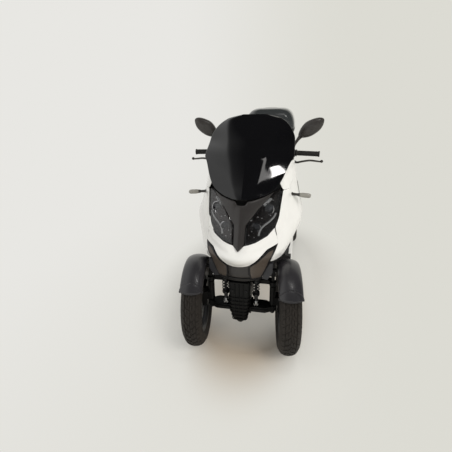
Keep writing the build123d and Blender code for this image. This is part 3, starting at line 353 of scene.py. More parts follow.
def spaced(points: Points, pitch: float, closed: bool = True) -> Points:
    """Divides the sides of an outline into even steps, keeping its corners.

    Args:
        points: Corners of the outline.
        pitch: Longest step.
        closed: Whether the last corner joins the first.

    Returns:
        The divided outline.
    """
    p = np.asarray(points, float)
    out = []
    for i in range(len(p) if closed else len(p) - 1):
        a, b = p[i], p[(i + 1) % len(p)]
        steps = max(1, math.ceil(np.linalg.norm(b - a) / pitch))
        out += [a + (b - a) * k / steps for k in range(steps)]
    return np.array(out if closed else out + [p[-1]])


def rounded(points: Sequence[Pair], radius: float, steps: int = 5) -> Points:
    """Rounds the corners of a closed outline.

    Args:
        points: Corners.
        radius: Distance from a corner at which its curve starts.
        steps: Points on each corner.

    Returns:
        The rounded outline.
    """
    p, out = np.asarray(points, float), []
    for i in range(len(p)):
        here, before, after = p[i], p[i - 1], p[(i + 1) % len(p)]
        ends = []
        for other in (before, after):
            length = np.linalg.norm(other - here)
            ends.append(here + (other - here) * min(radius / length, 0.45))
        for t in np.linspace(0, 1, steps):
            out.append((1 - t) ** 2 * ends[0] + 2 * t * (1 - t) * here + t * t * ends[1])
    return np.array(out)


def distance_to(outline: Points, places: Points) -> Points:
    """Measures how far places lie from a closed outline.

    Args:
        outline: Points of the outline.
        places: Places to measure.

    Returns:
        The shortest distance of each place.
    """
    a, b = outline, np.roll(outline, -1, axis=0)
    ab = b - a
    rel = places[:, None, :] - a[None]
    t = np.clip((rel * ab).sum(-1) / np.maximum((ab * ab).sum(-1), 1e-12), 0, 1)
    return np.linalg.norm(rel - t[..., None] * ab, axis=-1).min(axis=1)


def inside(outline: Points, places: Points) -> Points:
    """Tells which places lie inside a closed outline."""
    x, y = places[:, 0:1], places[:, 1:2]
    ax, ay = outline[:, 0], outline[:, 1]
    bx, by = np.roll(ax, -1), np.roll(ay, -1)
    rise = np.where(np.abs(by - ay) < 1e-12, 1e-12, by - ay)
    crossing = ((ay > y) != (by > y)) & (x < (bx - ax) * (y - ay) / rise + ax)
    return crossing.sum(axis=1) % 2 == 1


def filled(outline: Points, pitch: float, rows: Sequence[float]) -> tuple[Points, list[list[int]], Points]:
    """Fills an outline with triangles, with extra rows of points along its edge.

    Args:
        outline: Closed outline.
        pitch: Spacing of the points inside.
        rows: Distances of the rows from the edge.

    Returns:
        Points, triangles, and each point's distance from the edge.
    """
    turn = (outline[:, 0] * np.roll(outline[:, 1], -1) - np.roll(outline[:, 0], -1) * outline[:, 1]).sum()
    if turn < 0:
        outline = outline[::-1]
    along = np.roll(outline, -1, axis=0) - np.roll(outline, 1, axis=0)
    along /= np.maximum(np.linalg.norm(along, axis=1, keepdims=True), 1e-9)
    inward = np.stack([-along[:, 1], along[:, 0]], axis=1)
    sets = [outline]
    for row in rows:
        moved = outline + inward * row
        far = distance_to(outline, moved)
        sets.append(moved[(far > row * 0.93) & inside(outline, moved)])
    low, high = outline.min(0), outline.max(0)
    nx, nz = (np.arange(low[k] + pitch / 2, high[k], pitch) for k in (0, 1))
    grid = np.stack(np.meshgrid(nx, nz), -1).reshape(-1, 2)
    grid[:, 0] += np.where((np.round((grid[:, 1] - low[1]) / pitch) % 2) == 0, 0, pitch / 2)
    keep = inside(outline, grid)
    grid = grid[keep]
    if len(grid):
        grid = grid[distance_to(outline, grid) > (rows[-1] if rows else 0) + pitch * 0.55]
        sets.append(grid)
    cloud = np.vstack(sets)
    edges = [(i, (i + 1) % len(outline)) for i in range(len(outline))]
    points, _, faces, *_ = delaunay_2d_cdt([Vector(p) for p in cloud], edges, [list(range(len(outline)))], 1,
        1e-6)
    flat = np.array([tuple(p) for p in points])
    return flat, [list(f) for f in faces], distance_to(outline, flat)


class Shape:
    """Vertices and faces gathered for one piece, in millimetres from the front axle's middle."""

    def __init__(self) -> None:
        """Starts empty."""
        self.verts: list[Points] = []
        self.faces: list[list[int]] = []
        self.count = 0

    def add(self, verts: Any, faces: Sequence[Sequence[int]]) -> "Shape":
        """Adds a mesh and gives this shape back, as every method here does."""
        self.verts.append(np.asarray(verts, float).reshape(-1, 3))
        self.faces += [[i + self.count for i in f] for f in faces]
        self.count += len(self.verts[-1])
        return self

    def grid(self, points: Any, wrap_u: bool = False, wrap_v: bool = False, caps: bool = False) -> "Shape":
        """Adds a grid of four-sided faces.

        Args:
            points: Array of rows by columns by three.
            wrap_u: Joins the last row to the first.
            wrap_v: Joins the last column to the first.
            caps: Closes the first and last rows.

        Returns:
            This shape.
        """
        points = np.asarray(points, float)
        n, m = points.shape[:2]
        faces = []
        for i in range(n if wrap_u else n - 1):
            for j in range(m if wrap_v else m - 1):
                a, b = i * m + j, i * m + (j + 1) % m
                c, d = ((i + 1) % n) * m + (j + 1) % m, ((i + 1) % n) * m + j
                faces.append([a, b, c, d])
        if caps:
            faces += [list(range(m))[::-1], [(n - 1) * m + j for j in range(m)]]
        return self.add(points.reshape(-1, 3), faces)

    def tube(self, path: Any, radius: float | Points, sides: int = 12, flat: float = 1.0) -> "Shape":
        """Adds a round bar along a path.

        Args:
            path: Points of its middle line.
            radius: Its radius, or one for each point.
            sides: How many sides it has.
            flat: How much thinner it is upwards than across.

        Returns:
            This shape.
        """
        path = np.asarray(path, float)
        radii = np.broadcast_to(np.asarray(radius, float), len(path))
        along = np.gradient(path, axis=0)
        along /= np.linalg.norm(along, axis=1, keepdims=True)
        guide = np.array([0, 0, 1.0]) if abs(along[0][2]) < 0.9 else np.array([1.0, 0, 0])
        side = np.cross(along[0], guide)
        rings = []
        for p, t, r in zip(path, along, radii):
            side = side - t * (side @ t)
            side /= np.linalg.norm(side)
            other = np.cross(side, t)
            turn = around(sides)[:, None]
            rings.append(p + r * (np.cos(turn) * side + flat * np.sin(turn) * other))
        return self.loft(rings)

    def turned(self, profile: Sequence[Pair], centre: Sequence[float] = (0, 0, 0),
            axis: Sequence[float] = (1, 0, 0), sides: int = 48, closed: bool = True) -> "Shape":
        """Adds a profile turned about an axis.

        Args:
            profile: Pairs of distance along the axis and radius.
            centre: Where distance along the axis is measured from.
            axis: Direction of the axis.
            sides: How many steps in a turn.
            closed: Whether the profile is a closed ring.

        Returns:
            This shape.
        """
        a = Vector(axis).normalized()
        turn = a.to_track_quat("X", "Z").to_matrix()
        rows = []
        for k in range(sides):
            c, s = math.cos(2 * math.pi * k / sides), math.sin(2 * math.pi * k / sides)
            rows.append([tuple(Vector(centre) + turn @ Vector((h, r * c, r * s))) for h, r in profile])
        return self.grid(rows, wrap_u=True, wrap_v=closed)

    def box(self, low: Sequence[float], high: Sequence[float]) -> "Shape":
        """Adds a block between two corners."""
        c = [(x, y, z) for z in (low[2], high[2]) for x, y in ((low[0], low[1]), (high[0], low[1]),
            (high[0], high[1]), (low[0], high[1]))]
        faces = [[3, 2, 1, 0], [4, 5, 6, 7], [0, 1, 5, 4], [1, 2, 6, 5], [2, 3, 7, 6], [3, 0, 4, 7]]
        return self.add(c, faces)

    def loft(self, rings: Any) -> "Shape":
        """Adds closed rings joined to one block."""
        return self.grid(rings, wrap_v=True, caps=True)

    def stack(self, outline: Points, levels: Sequence[Pair], axis: int,
            centre: Sequence[float] | None = None) -> "Shape":
        """Adds a closed block from one outline at several scales.

        Args:
            outline: Closed outline in the other two axes.
            levels: Scale and place along the axis of each ring.
            axis: 0, 1 or 2 for the axis the rings stand on.
            centre: What the outline is scaled about, if not its middle.

        Returns:
            This shape.
        """
        middle = outline.mean(0) if centre is None else np.asarray(centre)
        rings = [np.insert(middle + (outline - middle) * s, axis, at, axis=1) for s, at in levels]
        return self.loft(rings)

    def moved(self, change: Callable[[Points], Points]) -> "Shape":
        """Moves every vertex by a rule on all of them at once."""
        self.verts = [change(np.vstack(self.verts))]
        return self

    def mirrored(self) -> "Shape":
        """Adds the mirror image on the other side."""
        verts = np.vstack(self.verts)
        base = self.count
        self.verts = [verts, verts * np.array([-1, 1, 1])]
        self.faces = self.faces + [[i + base for i in reversed(f)] for f in self.faces]
        self.count = 2 * base
        return self


@dataclass
class Datum:
    """Where the front axle lies in the part's frame, and the parked angles."""

    wheelbase: float = 1580.0
    half_track: float = 265.0
    rear_half_track: float = 243.0
    kingpin_x: float = 180.0
    wheels_deg: float = 7.0
    bar_deg: float = 2.0
    steer_y: float = 590.0
    steer_z: float = 1000.0
    rake_deg: float = 25.0
    axle_y: float = 0.0

    def read(self) -> None:
        """Reads the front axle's place from the rear tyre's box."""
        low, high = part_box("tyre_rear_left")
        self.axle_y = (low.y + high.y) / 2 / MM - self.wheelbase

    def place(self, points: Points) -> Points:
        """Turns millimetres from the front axle to metres in the part's frame."""
        return (np.asarray(points, float) + np.array([0, self.axle_y, 0])) * MM

    def parked_wheel(self, side: int) -> Callable[[Points], Points]:
        """Gives the turn of a front wheel's pieces about its kingpin."""
        a = math.radians(self.wheels_deg)
        turn = np.array([[math.cos(a), -math.sin(a), 0], [math.sin(a), math.cos(a), 0], [0, 0, 1]])
        pin = np.array([side * self.kingpin_x, 0, 0])
        return lambda p: (p - pin) @ turn.T + pin

    def parked_bar(self, points: Points) -> Points:
        """Turns pieces on the bar to their parked angle about the steering axis."""
        rake = math.radians(self.rake_deg)
        axis = Vector((0, math.sin(rake), math.cos(rake)))
        turn = np.array(Matrix.Rotation(math.radians(self.bar_deg), 3, axis))
        pin = np.array([0, self.steer_y, self.steer_z])
        return (points - pin) @ turn.T + pin


DATUM = Datum()


def linked(name: str, data: Any) -> Thing:
    """Makes an object and puts it in the scene."""
    made = bpy.data.objects.new(name, data)
    bpy.context.scene.collection.objects.link(made)
    return made


def mesh_of(name: str, points: Points, shape: Shape, material: Material) -> Mesh:
    """Makes a mesh of a shape's faces at points in metres."""
    mesh = bpy.data.meshes.new(name)
    mesh.from_pydata(points.tolist(), [], shape.faces)
    mesh.materials.append(material)
    return mesh


def welded(mesh: Mesh, mend: bool = True) -> None:
    """Merges vertices that lie on each other and works out normals again where that is asked."""
    work = bmesh.new()
    work.from_mesh(mesh)
    bmesh.ops.remove_doubles(work, verts=work.verts, dist=WELD)
    bmesh.ops.dissolve_degenerate(work, edges=work.edges, dist=WELD / 2)
    if mend:
        bmesh.ops.recalc_face_normals(work, faces=work.faces)
    work.to_mesh(mesh)
    work.free()


def make_piece(name: str, shape: Shape, finish: Finish, body: str = "chassis", replaces: Sequence[str] = (),
        sharp_deg: float = 40.0, wall: float = 0.0, away: Sequence[float] | None = None,
        mend: bool = True) -> None:
    """Makes one finished piece, rides it on its body and reports it.

    Args:
        name: The piece's name.
        shape: Its mesh in millimetres.
        finish: Its finish.
        body: The CAD body that carries it.
        replaces: CAD nodes that it stands for.
        sharp_deg: Edges sharper than this stay crisp.
        wall: Thickness that an open sheet gets behind its face, or 0 for a closed shape.
        away: Point that a sheet's face looks away from, if it may have come out inside out.
        mend: Whether a closed shape's normals are worked out again.
    """
    mesh = mesh_of(name, DATUM.place(np.vstack(shape.verts)), shape, finish.build())
    welded(mesh, mend and not wall)
    made = settle(bpy.data.objects.new(name, mesh), finish.slot, body, replaces, sharp_deg)
    if away is not None:
        centre = Vector(DATUM.place(np.array(away)))
        if sum(p.normal.dot(p.center - centre) * p.area for p in mesh.polygons) < 0:
            mesh.flip_normals()
    if wall:
        skin = made.modifiers.new("wall", "SOLIDIFY")
        skin.thickness, skin.offset, skin.use_even_offset = wall * MM, -1.0, False


def settle(made: Thing, slot: str, body: str, replaces: Sequence[str] = (), sharp_deg: float = 40.0) -> Thing:
    """Shades a finished mesh, rides it and reports it.

    Args:
        made: The object, at the origin.
        slot: Not used.
        body: The CAD body that carries it.
        replaces: CAD nodes that it stands for.
        sharp_deg: Edges sharper than this stay crisp.

    Returns:
        The same object.
    """
    mesh = made.data
    mesh.shade_smooth()
    mesh.set_sharp_from_angle(angle=math.radians(sharp_deg))
    if made.name not in bpy.context.scene.collection.objects:
        bpy.context.scene.collection.objects.link(made)
    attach(made, body)
    if replaces:
        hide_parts(*replaces)
    log.info("%s on %s: %d faces", made.name, body, len(mesh.polygons))
    return made


def places_of(mesh: Mesh) -> Points:
    """Gives a mesh's vertices in metres."""
    return np.array([v.co for v in mesh.vertices], float)


def settle_moved(mesh: Mesh, change: Callable[[Points], Points], finish: Finish, body: str,
        sharp_deg: float) -> None:
    """Moves a mesh made about the origin by a rule in millimetres and settles it."""
    mesh.vertices.foreach_set("co", DATUM.place(change(places_of(mesh) / MM)).astype(np.float32).ravel())
    settle(bpy.data.objects.new(mesh.name, mesh), finish.slot, body, sharp_deg=sharp_deg)


# ---- Front body ----

def faded(low: float, high: float, at: Points) -> Points:
    """Rises smoothly from 0 at low to 1 at high."""
    t = np.clip((at - low) / (high - low), 0, 1)
    return t * t * (3 - 2 * t)


def mirrored_outline(half: Sequence[Pair]) -> list[Pair]:
    """Joins a half outline, from the middle round to the middle, to its mirror image."""
    return list(half) + [(-x, z) for x, z in reversed(half) if abs(x) > 1e-6]


def rolled(far: Points, roll: float) -> Points:
    """Gives how far an edge rolled to a radius falls back at distances from the edge."""
    inner = np.minimum(far, roll)
    return roll - np.sqrt(np.maximum(roll ** 2 - (roll - inner) ** 2, 0))


def facing(verts: Points, flat: Points, faces: list[list[int]]) -> Shape:
    """Makes a sheet whose faces all turn forwards, from its places seen from the front."""
    a, b, c = (flat[[f[k] for f in faces]] for k in range(3))
    turned = np.cross(b - a, c - a) < 0
    return Shape().add(verts, [f[::-1] if t else f for f, t in zip(faces, turned)])


@dataclass
class NoseForm:
    """The front body's outer surface, which every front panel follows."""

    rows: tuple[tuple[float, float, float, float], ...] = ((440.0, -78.0, 262.0, 205.0),
        (466.0, -84.0, 262.0, 205.0), (505.0, -100.0, 262.0, 205.0), (562.0, -112.0, 262.0, 205.0),
        (619.0, -133.0, 281.0, 212.0), (655.0, -104.0, 297.0, 225.0), (740.0, -58.0, 319.0, 262.0),
        (820.0, -22.0, 299.0, 300.0), (922.0, 26.0, 278.0, 345.0), (1045.0, 110.0, 257.0, 392.0))
    curve: float = 0.0029
    flare_x: float = 150.0
    rear_y: float = 430.0
    corner: float = 34.0

    def level(self, z: Points) -> tuple[Points, Points, Points]:
        """Gives the middle, half width and flank's front at heights."""
        return read_table(self.rows, z)

    def depth(self, x: Points, z: Points) -> Points:
        """Gives how far back the surface lies at places seen from the front."""
        middle, half, side = self.level(z)
        past = np.clip((np.abs(x) - self.flare_x) / (half - self.flare_x), 0, None)
        return middle + self.curve * x * x + (side - middle - self.curve * half * half) * past ** 3

    def wrapped(self, u: Points, z: Points) -> Points:
        """Follows the surface outwards and then back along the flank.

        Args:
            u: Distance outwards, going on along the flank past its corner.
            z: Heights.

        Returns:
            Points of the surface, with the corner rounded.
        """
        half = self.level(z)[1]
        reach = self.corner * np.clip(1 - np.abs(u - half) / 70, 0, 1)
        total = np.zeros((len(u), 2))
        for share, weight in ((-1, 1), (-0.5, 2), (0, 3), (0.5, 2), (1, 1)):
            v = u + share * reach
            x = np.minimum(v, half)
            total += weight / 9 * np.stack([x, self.depth(x, z) + np.maximum(v - half, 0)], -1)
        return np.stack([total[:, 0], total[:, 1], z], -1)

    def rear(self, z: float) -> float:
        """Gives the distance outwards and back at which the flank ends at a height."""
        _, half, side = self.level(z)
        return float(half + self.rear_y - side)


@dataclass
class FrontBody:
    """Cowl, flanks, centre trim, wings, chin panel and lip, cut from one form."""

    form: NoseForm = field(default_factory=NoseForm)
    gap: float = 1.4
    white_gap: float = 0.25
    wall: float = 3.0
    roll: float = 2.2
    cowl_roll: float = 0.8
    flank_roll: float = 1.0
    flank_pitch: float = 11.0
    front_half: float = 260.0
    insert_wall: float = 1.2
    lip_depth: float = 26.0
    lamp: tuple[Pair, ...] = ((206, 922), (166, 922), (92, 850), (33, 776), (29, 680), (85, 692), (145, 715),
        (177, 746), (193, 795))
    cowl_low: tuple[Pair, ...] = ((0, 568), (30, 570), (58, 577), (89, 600), (116, 626), (147, 650),
        (201, 662))
    band: float = 38.0
    band_rise: float = 6.0

    def lamp_outline(self) -> Points:
        """Gives the left lamp's opening with its corners eased."""
        return rounded(self.lamp, 14.0, 4)

    def surround(self, x: Points, z: Points) -> Points:
        """Gives the rise of the raised band round the lamps."""
        far = distance_to(self.lamp_outline(), np.stack([np.abs(x), z], -1))
        return self.band_rise * (1 - faded(self.band - 9, self.band + 7, far))

    def sheet(self, outline: Sequence[Pair], rise: Callable[[Points, Points, Points], Points] | None = None,
            roll: float | None = None, corner: float = 5.0, pitch: float = 8.0, sink: float = 0.0) -> Shape:
        """Cuts a panel out of the form.

        Args:
            outline: Its closed outline seen from the front.
            rise: How far it stands out, from places across, heights and distances from the edge.
            roll: Radius of its rolled edge.
            corner: How much its corners are eased.
            pitch: Spacing of its vertices.
            sink: How far behind the form it lies.

        Returns:
            The panel as a sheet that faces forwards.
        """
        roll = self.roll if roll is None else roll
        edge = spaced(rounded(outline, corner, 4), 4.0)
        flat, faces, far = filled(edge, pitch, (1.0, 2.4, 5.0))
        held = far > 1e-6
        y = self.form.depth(flat[:, 0], flat[:, 1]) + sink + rolled(far, roll)
        if rise is not None:
            y -= rise(flat[:, 0], flat[:, 1], np.where(held, far, 0))
        verts = np.stack([flat[:, 0], y, flat[:, 1]], -1)
        return facing(verts, flat, faces)

    def wrapped_sheet(self, outline: Sequence[Pair]) -> Shape:
        """Cuts a flank panel whose outline goes on round the corner, and its mirror image."""
        edge = spaced(rounded(outline, 7.0, 4), 6.0)
        flat, faces, far = filled(edge, self.flank_pitch, (1.2, 2.6, 5.5))
        verts = self.form.wrapped(flat[:, 0], flat[:, 1])
        ahead = self.form.wrapped(flat[:, 0] + 2, flat[:, 1]) - self.form.wrapped(flat[:, 0] - 2, flat[:, 1])
        out = np.stack([ahead[:, 1], -ahead[:, 0], np.zeros(len(flat))], -1)
        out /= np.linalg.norm(out, axis=1, keepdims=True)
        drop = rolled(far, self.flank_roll)
        rise = np.where(flat[:, 0] < self.front_half, self.surround(flat[:, 0], flat[:, 1]), 0)
        verts = verts + out * (rise - drop)[:, None]
        return facing(verts, flat, faces).mirrored()

    def shrink(self, outline: Sequence[Pair], amount: float) -> list[Pair]:
        """Moves each side of an outline inwards."""
        p = np.asarray(outline, float)
        area = (p[:, 0] * np.roll(p[:, 1], -1) - np.roll(p[:, 0], -1) * p[:, 1]).sum()
        sides = np.roll(p, -1, axis=0) - p
        sides /= np.linalg.norm(sides, axis=1, keepdims=True)
        normal = np.stack([-sides[:, 1], sides[:, 0]], -1) * math.copysign(1, area)
        before = np.roll(normal, 1, axis=0)
        reach = amount / np.maximum(1 + (before * normal).sum(1), 0.35)
        return [tuple(q) for q in p + (before + normal) * reach[:, None]]

    def build(self) -> None:
        """Builds every panel."""
        self.build_white()
        self.build_trim()
        self.build_wings()
        self.build_lower()

    def build_white(self) -> None:
        """Builds the cowl and the flanks."""
        top = [(177, 746), (145, 715), (85, 692), (29, 680), (0, 652)]
        outline = self.shrink(mirrored_outline([*self.cowl_low, *top]), self.white_gap)

        def swell(x: Points, z: Points, far: Points) -> Points:
            """Raises the band under the lamps and the beak between them."""
            beak = 7 * np.exp(-(x / 60) ** 2) * faded(0, 30, far)
            return self.surround(x, z) * faded(8, 60, np.abs(x)) + beak

        make_piece("nose_cowl", self.sheet(outline, swell, roll=self.cowl_roll, corner=4), WHITE_LACQUER,
            replaces=["front_cowl"], wall=self.wall)
        rear = self.form.rear
        seam = [(206, 922), (232, 917), (250, 934), (266, 962), (300, 972), (rear(968), 972)]
        lower = [*seam, (rear(700), 700), (rear(668) - 18, 668), (330, 672), (302, 669), (285, 650),
            (243, 583), (211, 571), (163, 577), (201, 662), (177, 746), (193, 795)]
        upper = [(206, 922), (188, 957), (234, 1046), (254, 1046), (rear(1040), 1046), *reversed(seam[1:])]
        for name, outline, nodes in (("flank_panels", lower, ["side_fairings"]),
                ("shoulder_panels", upper, [])):
            make_piece(name, self.wrapped_sheet(self.shrink(outline, self.white_gap)), WHITE_LACQUER,
                "chassis", nodes, wall=self.wall)

    def build_trim(self) -> None:
        """Builds the forked centre trim with its folded ridge."""
        half = [(0, 872), (22, 874), (32, 890), (112, 906), (150, 919), (166, 922), (92, 850), (33, 776),
            (29, 680), (0, 652)]
        outline = self.shrink(mirrored_outline(half), self.gap)

        def fold(x: Points, z: Points, far: Points) -> Points:
            """Rises from the edges to a ridge down the middle of the leg."""
            ridge = 8 * np.clip(1 - np.abs(x) / 30, 0, 1) * (1 - 0.6 * faded(760, 850, z))
            return 5 * (1 - np.exp(-far / 4)) + 4 * np.minimum(far / 26, 1) + ridge

        make_piece("forked_trim", self.sheet(outline, fold, roll=2, corner=3, pitch=5), SATIN_TRIM,
            replaces=["nose_trim"], wall=self.wall)

    def build_wings(self) -> None:
        """Builds the wing inserts, their black frames and the chin panel between them."""
        wing = [(199, 657), (162, 578), (158, 560), (133, 505), (120, 478), (64, 478), (56, 520), (56, 572),
            (90, 594), (118, 621), (149, 645)]
        frame = self.sheet(self.shrink(wing, 0.8), lambda x, z, far: 3.0 * (1 - faded(5, 8, far)), roll=2,
            corner=4, pitch=7).mirrored()
        make_piece("wing_frames", frame, BLACK_MOULDING, replaces=["front_grille"], wall=self.wall)
        insert = self.sheet(self.shrink(wing, 8.0), lambda x, z, far: 1.6 + 1.2 * faded(0, 6, far), roll=1,
            corner=5, pitch=7).mirrored()
        make_piece("wing_inserts", insert, WING_MOULDING, wall=self.insert_wall)
        middle = [(0, 565), (30, 567.5), (62, 577), (56, 520), (62, 490), (0, 490)]
        make_piece("chin_panel", self.sheet(mirrored_outline(middle), roll=2, corner=3, sink=4, pitch=7),
            SATIN_TRIM, wall=self.wall)

    def build_lower(self) -> None:
        """Builds the lip under the wings."""
        lip = [(0, 488), (62, 488), (64, 476.5), (119, 476.5), (115, 466), (60, 464), (0, 464)]
        make_piece("chin_lip", self.sheet(mirrored_outline(lip), roll=2.5, corner=3, pitch=6), BLACK_MOULDING,
            replaces=["lower_lip"], wall=self.lip_depth)


@dataclass
class Headlamps:
    """Two lamps, each with a lens, a metallised bowl, two projectors and a light guide."""

    body: FrontBody
    projectors: tuple[tuple[float, float, float], ...] = ((84, 762, 24), (137, 842, 33))
    bowl_depth: float = 30.0
    cover_wall: float = 2.5
    bowl_wall: float = 2.0
    guide_depth: float = 13.0

    def build(self) -> None:
        """Builds the lenses, bowls, projectors and guides."""
        body, form = self.body, self.body.form
        outline = body.shrink(body.lamp, 2.2)
        lens = body.sheet(outline, lambda x, z, far: 3 * (1 - np.exp(-far / 5)), roll=2.0, corner=12,
            pitch=8).mirrored()
        make_piece("lamp_covers", lens, LAMP_CLEAR, replaces=["headlamp_lenses"], wall=self.cover_wall)
        bowl = body.sheet(body.shrink(body.lamp, 1.0), lambda x, z,
            far: -7 - self.bowl_depth * (1 - np.exp(-far / 9)), roll=0.5, corner=12, pitch=9).mirrored()
        make_piece("lamp_bowls", bowl, LAMP_BOWL, replaces=["headlamp_units"], wall=self.bowl_wall)
        rings, glass, dark = Shape(), Shape(), Shape()
        for x, z, radius in self.projectors:
            y = float(form.depth(x, z)) + 12
            aim = (0.10, -1.0, 0.04)
            rings.turned([(-24, radius * 0.72), (-2, radius), (3, radius), (4, radius - 2), (1, radius - 5),
                (-10, radius * 0.70), (-24, radius * 0.66)], (x, y, z), aim, 40)
            dome = [(-9 + 13 * math.cos(t), radius * 0.70 * math.sin(t)) for t in np.linspace(0.02, 1.57, 8)]
            glass.turned(dome + [(-14, radius * 0.66), (-14, 0.02)], (x, y, z), aim, 36)
            dark.turned([(-30, 1), (-30, radius * 0.95), (-12, radius * 0.98), (-6, radius * 0.86), (-14, 1)],
                (x, y + 4, z), aim, 36)
        for name, shape, finish in (("projector_rings", rings, CHROME_RING),
                ("projector_lenses", glass, LENS_GLASS), ("projector_barrels", dark, LAMP_BOWL)):
            make_piece(name, shape.mirrored(), finish)
        self.build_guides()

    def build_guides(self) -> None:
        """Builds the light guides, the stepped reflectors beside them, and white blocks that paint the
        reflectors' glints.
        """
        form = self.body.form
        guides = Shape()
        for line, width in (([(178, 812), (170, 796), (150, 778), (126, 765), (106, 746), (98, 718)], 4.8),
                ([(150, 889), (140, 881), (130, 873), (116, 862)], 7.5)):
            flat = curve_through(line, 26)
            y = form.depth(flat[:, 0], flat[:, 1]) + self.guide_depth
            guides.tube(np.stack([flat[:, 0], y, flat[:, 1]], -1), width, 10)

        def facets(x: Points, z: Points, far: Points) -> Points:
            """Tilts each small facet of the stepped reflector its own way."""
            step = np.sin(x / 2.3 + z / 3.1) + np.sin(z / 2.7 - x / 4.3) + np.sin(x / 5.9
                - 1.3) * np.sin(z / 6.7)
            return -21 + 1.5 * step

        steps = self.body.sheet(self.body.shrink(self.body.lamp, 9.0), facets, roll=0.5, corner=8,
            pitch=7).mirrored()
        make_piece("light_guides", guides.mirrored(), GUIDE_AND_GLINT_WHITE)
        make_piece("stepped_reflectors", steps, LAMP_FACETS, sharp_deg=2, wall=1.0)
        # White blocks inside the lamps stand in for the reflectors' glints: painted highlights.
        glint_chips = Shape()
        for x, z, w in ((57, 795, 4.5), (70, 825, 3.2), (89, 809, 3.6), (62, 742, 2.6), (110, 800, 2.8),
                (48, 724, 2.4), (76, 712, 2.8), (104, 733, 2.2), (160, 880, 3.0), (152, 806, 2.6)):
            y = float(form.depth(x, z)) + 14
            glint_chips.box((x - w, y - 1, z - w * 0.55), (x + w, y + 3, z + w * 0.55))
        make_piece("bright_facets", glint_chips.mirrored(), GUIDE_AND_GLINT_WHITE, sharp_deg=20)


@dataclass
class Windscreen:
    """Tall smoked screen, creased down each side."""

    rows: tuple[tuple[float, ...], ...] = ((896, 21.6, 26, 52, 31), (910, 35, 40, 112, 64),
        (930, 54.8, 52, 158, 100), (960, 84, 66, 188, 128), (1060, 190, 98, 240, 228),
        (1090, 223, 112, 258, 268), (1164, 322, 136, 256, 398), (1214, 392, 148, 236, 437),
        (1277, 484, 158, 166, 504), (1300, 515, 60, 70, 518))
    crease_share: float = 0.12
    crease_radius: float = 7.0
    wall: float = 4.5
    seal_radius: float = 2.2
    seal_top: float = 1085.0

    def section(self, z: Points) -> tuple[Points, ...]:
        """Gives the middle, crease, edge and edge's depth at heights."""
        return read_table(self.rows, z, (1, 2, 3, 4))

    def surface(self, share: Points, z: Points) -> Points:
        """Gives points of the outer face.

        Args:
            share: Place across, from -1 at one edge to 1 at the other.
            z: Heights, as many as there are rows.

        Returns:
            Array of rows by columns by three.
        """
        middle, crease, edge, edge_y = (v[:, None] for v in self.section(z))
        crease = np.minimum(crease, edge * 0.86)
        x = share[None, :] * edge
        knee = middle + (edge_y - middle) * self.crease_share
        inner, outer = (knee - middle) / crease, (edge_y - knee) / (edge - crease)
        past = np.abs(x) - crease
        soft = (past + np.sqrt(past ** 2 + self.crease_radius ** 2)) / 2
        base = (-crease + np.sqrt(crease ** 2 + self.crease_radius ** 2)) / 2
        y = middle + inner * np.abs(x) + (outer - inner) * (soft - base)
        return np.stack([x, y, np.broadcast_to(z[:, None], x.shape)], -1)

    def build(self) -> None:
        """Builds the sheet and the seal along its lower edges."""
        low, high = self.rows[0][0], self.rows[-1][0]
        levels = low + (high - low) * (1 - np.cos(np.linspace(0, math.pi, 72))) / 2
        share = np.sin(np.linspace(-math.pi / 2, math.pi / 2, 81))
        share = 0.55 * share + 0.45 * np.linspace(-1, 1, 81)
        make_piece("smoked_screen_sheet", Shape().grid(self.surface(share, levels)), SMOKED_SHEET,
            replaces=["windscreen"], wall=self.wall)
        edge = []
        for z in np.linspace(low, self.seal_top, 26):
            p = self.surface(np.array([0.985]), np.array([z]))[0, 0]
            edge.append(p + np.array([0, self.wall + 2.5, 1.5]))
        start = [self.surface(np.array([s]), np.array([low]))[0, 0] + np.array([0, self.wall + 2.5, 3.5])
            for s in np.linspace(0, 0.9, 6)]
        seal = Shape().tube(start + edge, self.seal_radius, 8).mirrored()
        make_piece("screen_seal", seal, BLACK_MOULDING)


@dataclass
class Indicators:
    """Front indicators: a stalk and a clear pod on each flank."""

    root: tuple[float, float, float] = (252.0, 242.0, 876.0)
    tip: tuple[float, float, float] = (362.0, 237.0, 869.0)

    def build(self) -> None:
        """Builds the stalks and the lenses."""
        indicator_pods("", (self.root, self.tip), ([0, 0.1, 0.3, 0.42, 0.6, 0.9, 0.98, 1.0],
            [15.5, 10.5, 9.0, 13.0, 16.5, 16.5, 13.5, 9.0]), 26, 11, 20)


def indicator_pods(word: str, ends: tuple[Sequence[float], Sequence[float]],
        profile: tuple[Sequence[float], Sequence[float]], count: int, cut: int, sides: int) -> None:
    """Builds a pair of indicators on their stalks.

    Args:
        word: What the pieces' names begin with.
        ends: Root and tip of the left one.
        profile: Shares of the way and the radius at each.
        count: Points along it.
        cut: Which point parts the stalk from the lens.
        sides: How many sides it has.
    """
    a, b = (np.array(end) for end in ends)
    share = np.linspace(0, 1, count)
    path, radius = a + (b - a) * share[:, None], np.interp(share, *profile)
    stalk, lens = (Shape().tube(path[part], radius[part], sides, flat=0.8).mirrored()
        for part in (slice(cut + 1), slice(cut, None)))
    make_piece(word + "indicator_stalks", stalk, MIRROR_SHELL, replaces=[(word or "front_") + "indicators"])
    make_piece(word + "indicator_lenses", lens, PALE_LENS)


# ---- Geometry Nodes ----

def node_group(name: str, sockets: Sequence[tuple[str, str]]) -> tuple[Tree, bpy.types.Node]:
    """Starts a Geometry Nodes tree.

    Args:
        name: The tree's name.
        sockets: Name and type of each input after the geometry.

    Returns:
        The tree and its input node.
    """
    tree = bpy.data.node_groups.new(name, "GeometryNodeTree")
    tree.interface.new_socket("Geometry", in_out="INPUT", socket_type="NodeSocketGeometry")
    for label, kind in sockets:
        tree.interface.new_socket(label, in_out="INPUT", socket_type="NodeSocket" + kind)
    tree.interface.new_socket("Geometry", in_out="OUTPUT", socket_type="NodeSocketGeometry")
    return tree, tree.nodes.new("NodeGroupInput")


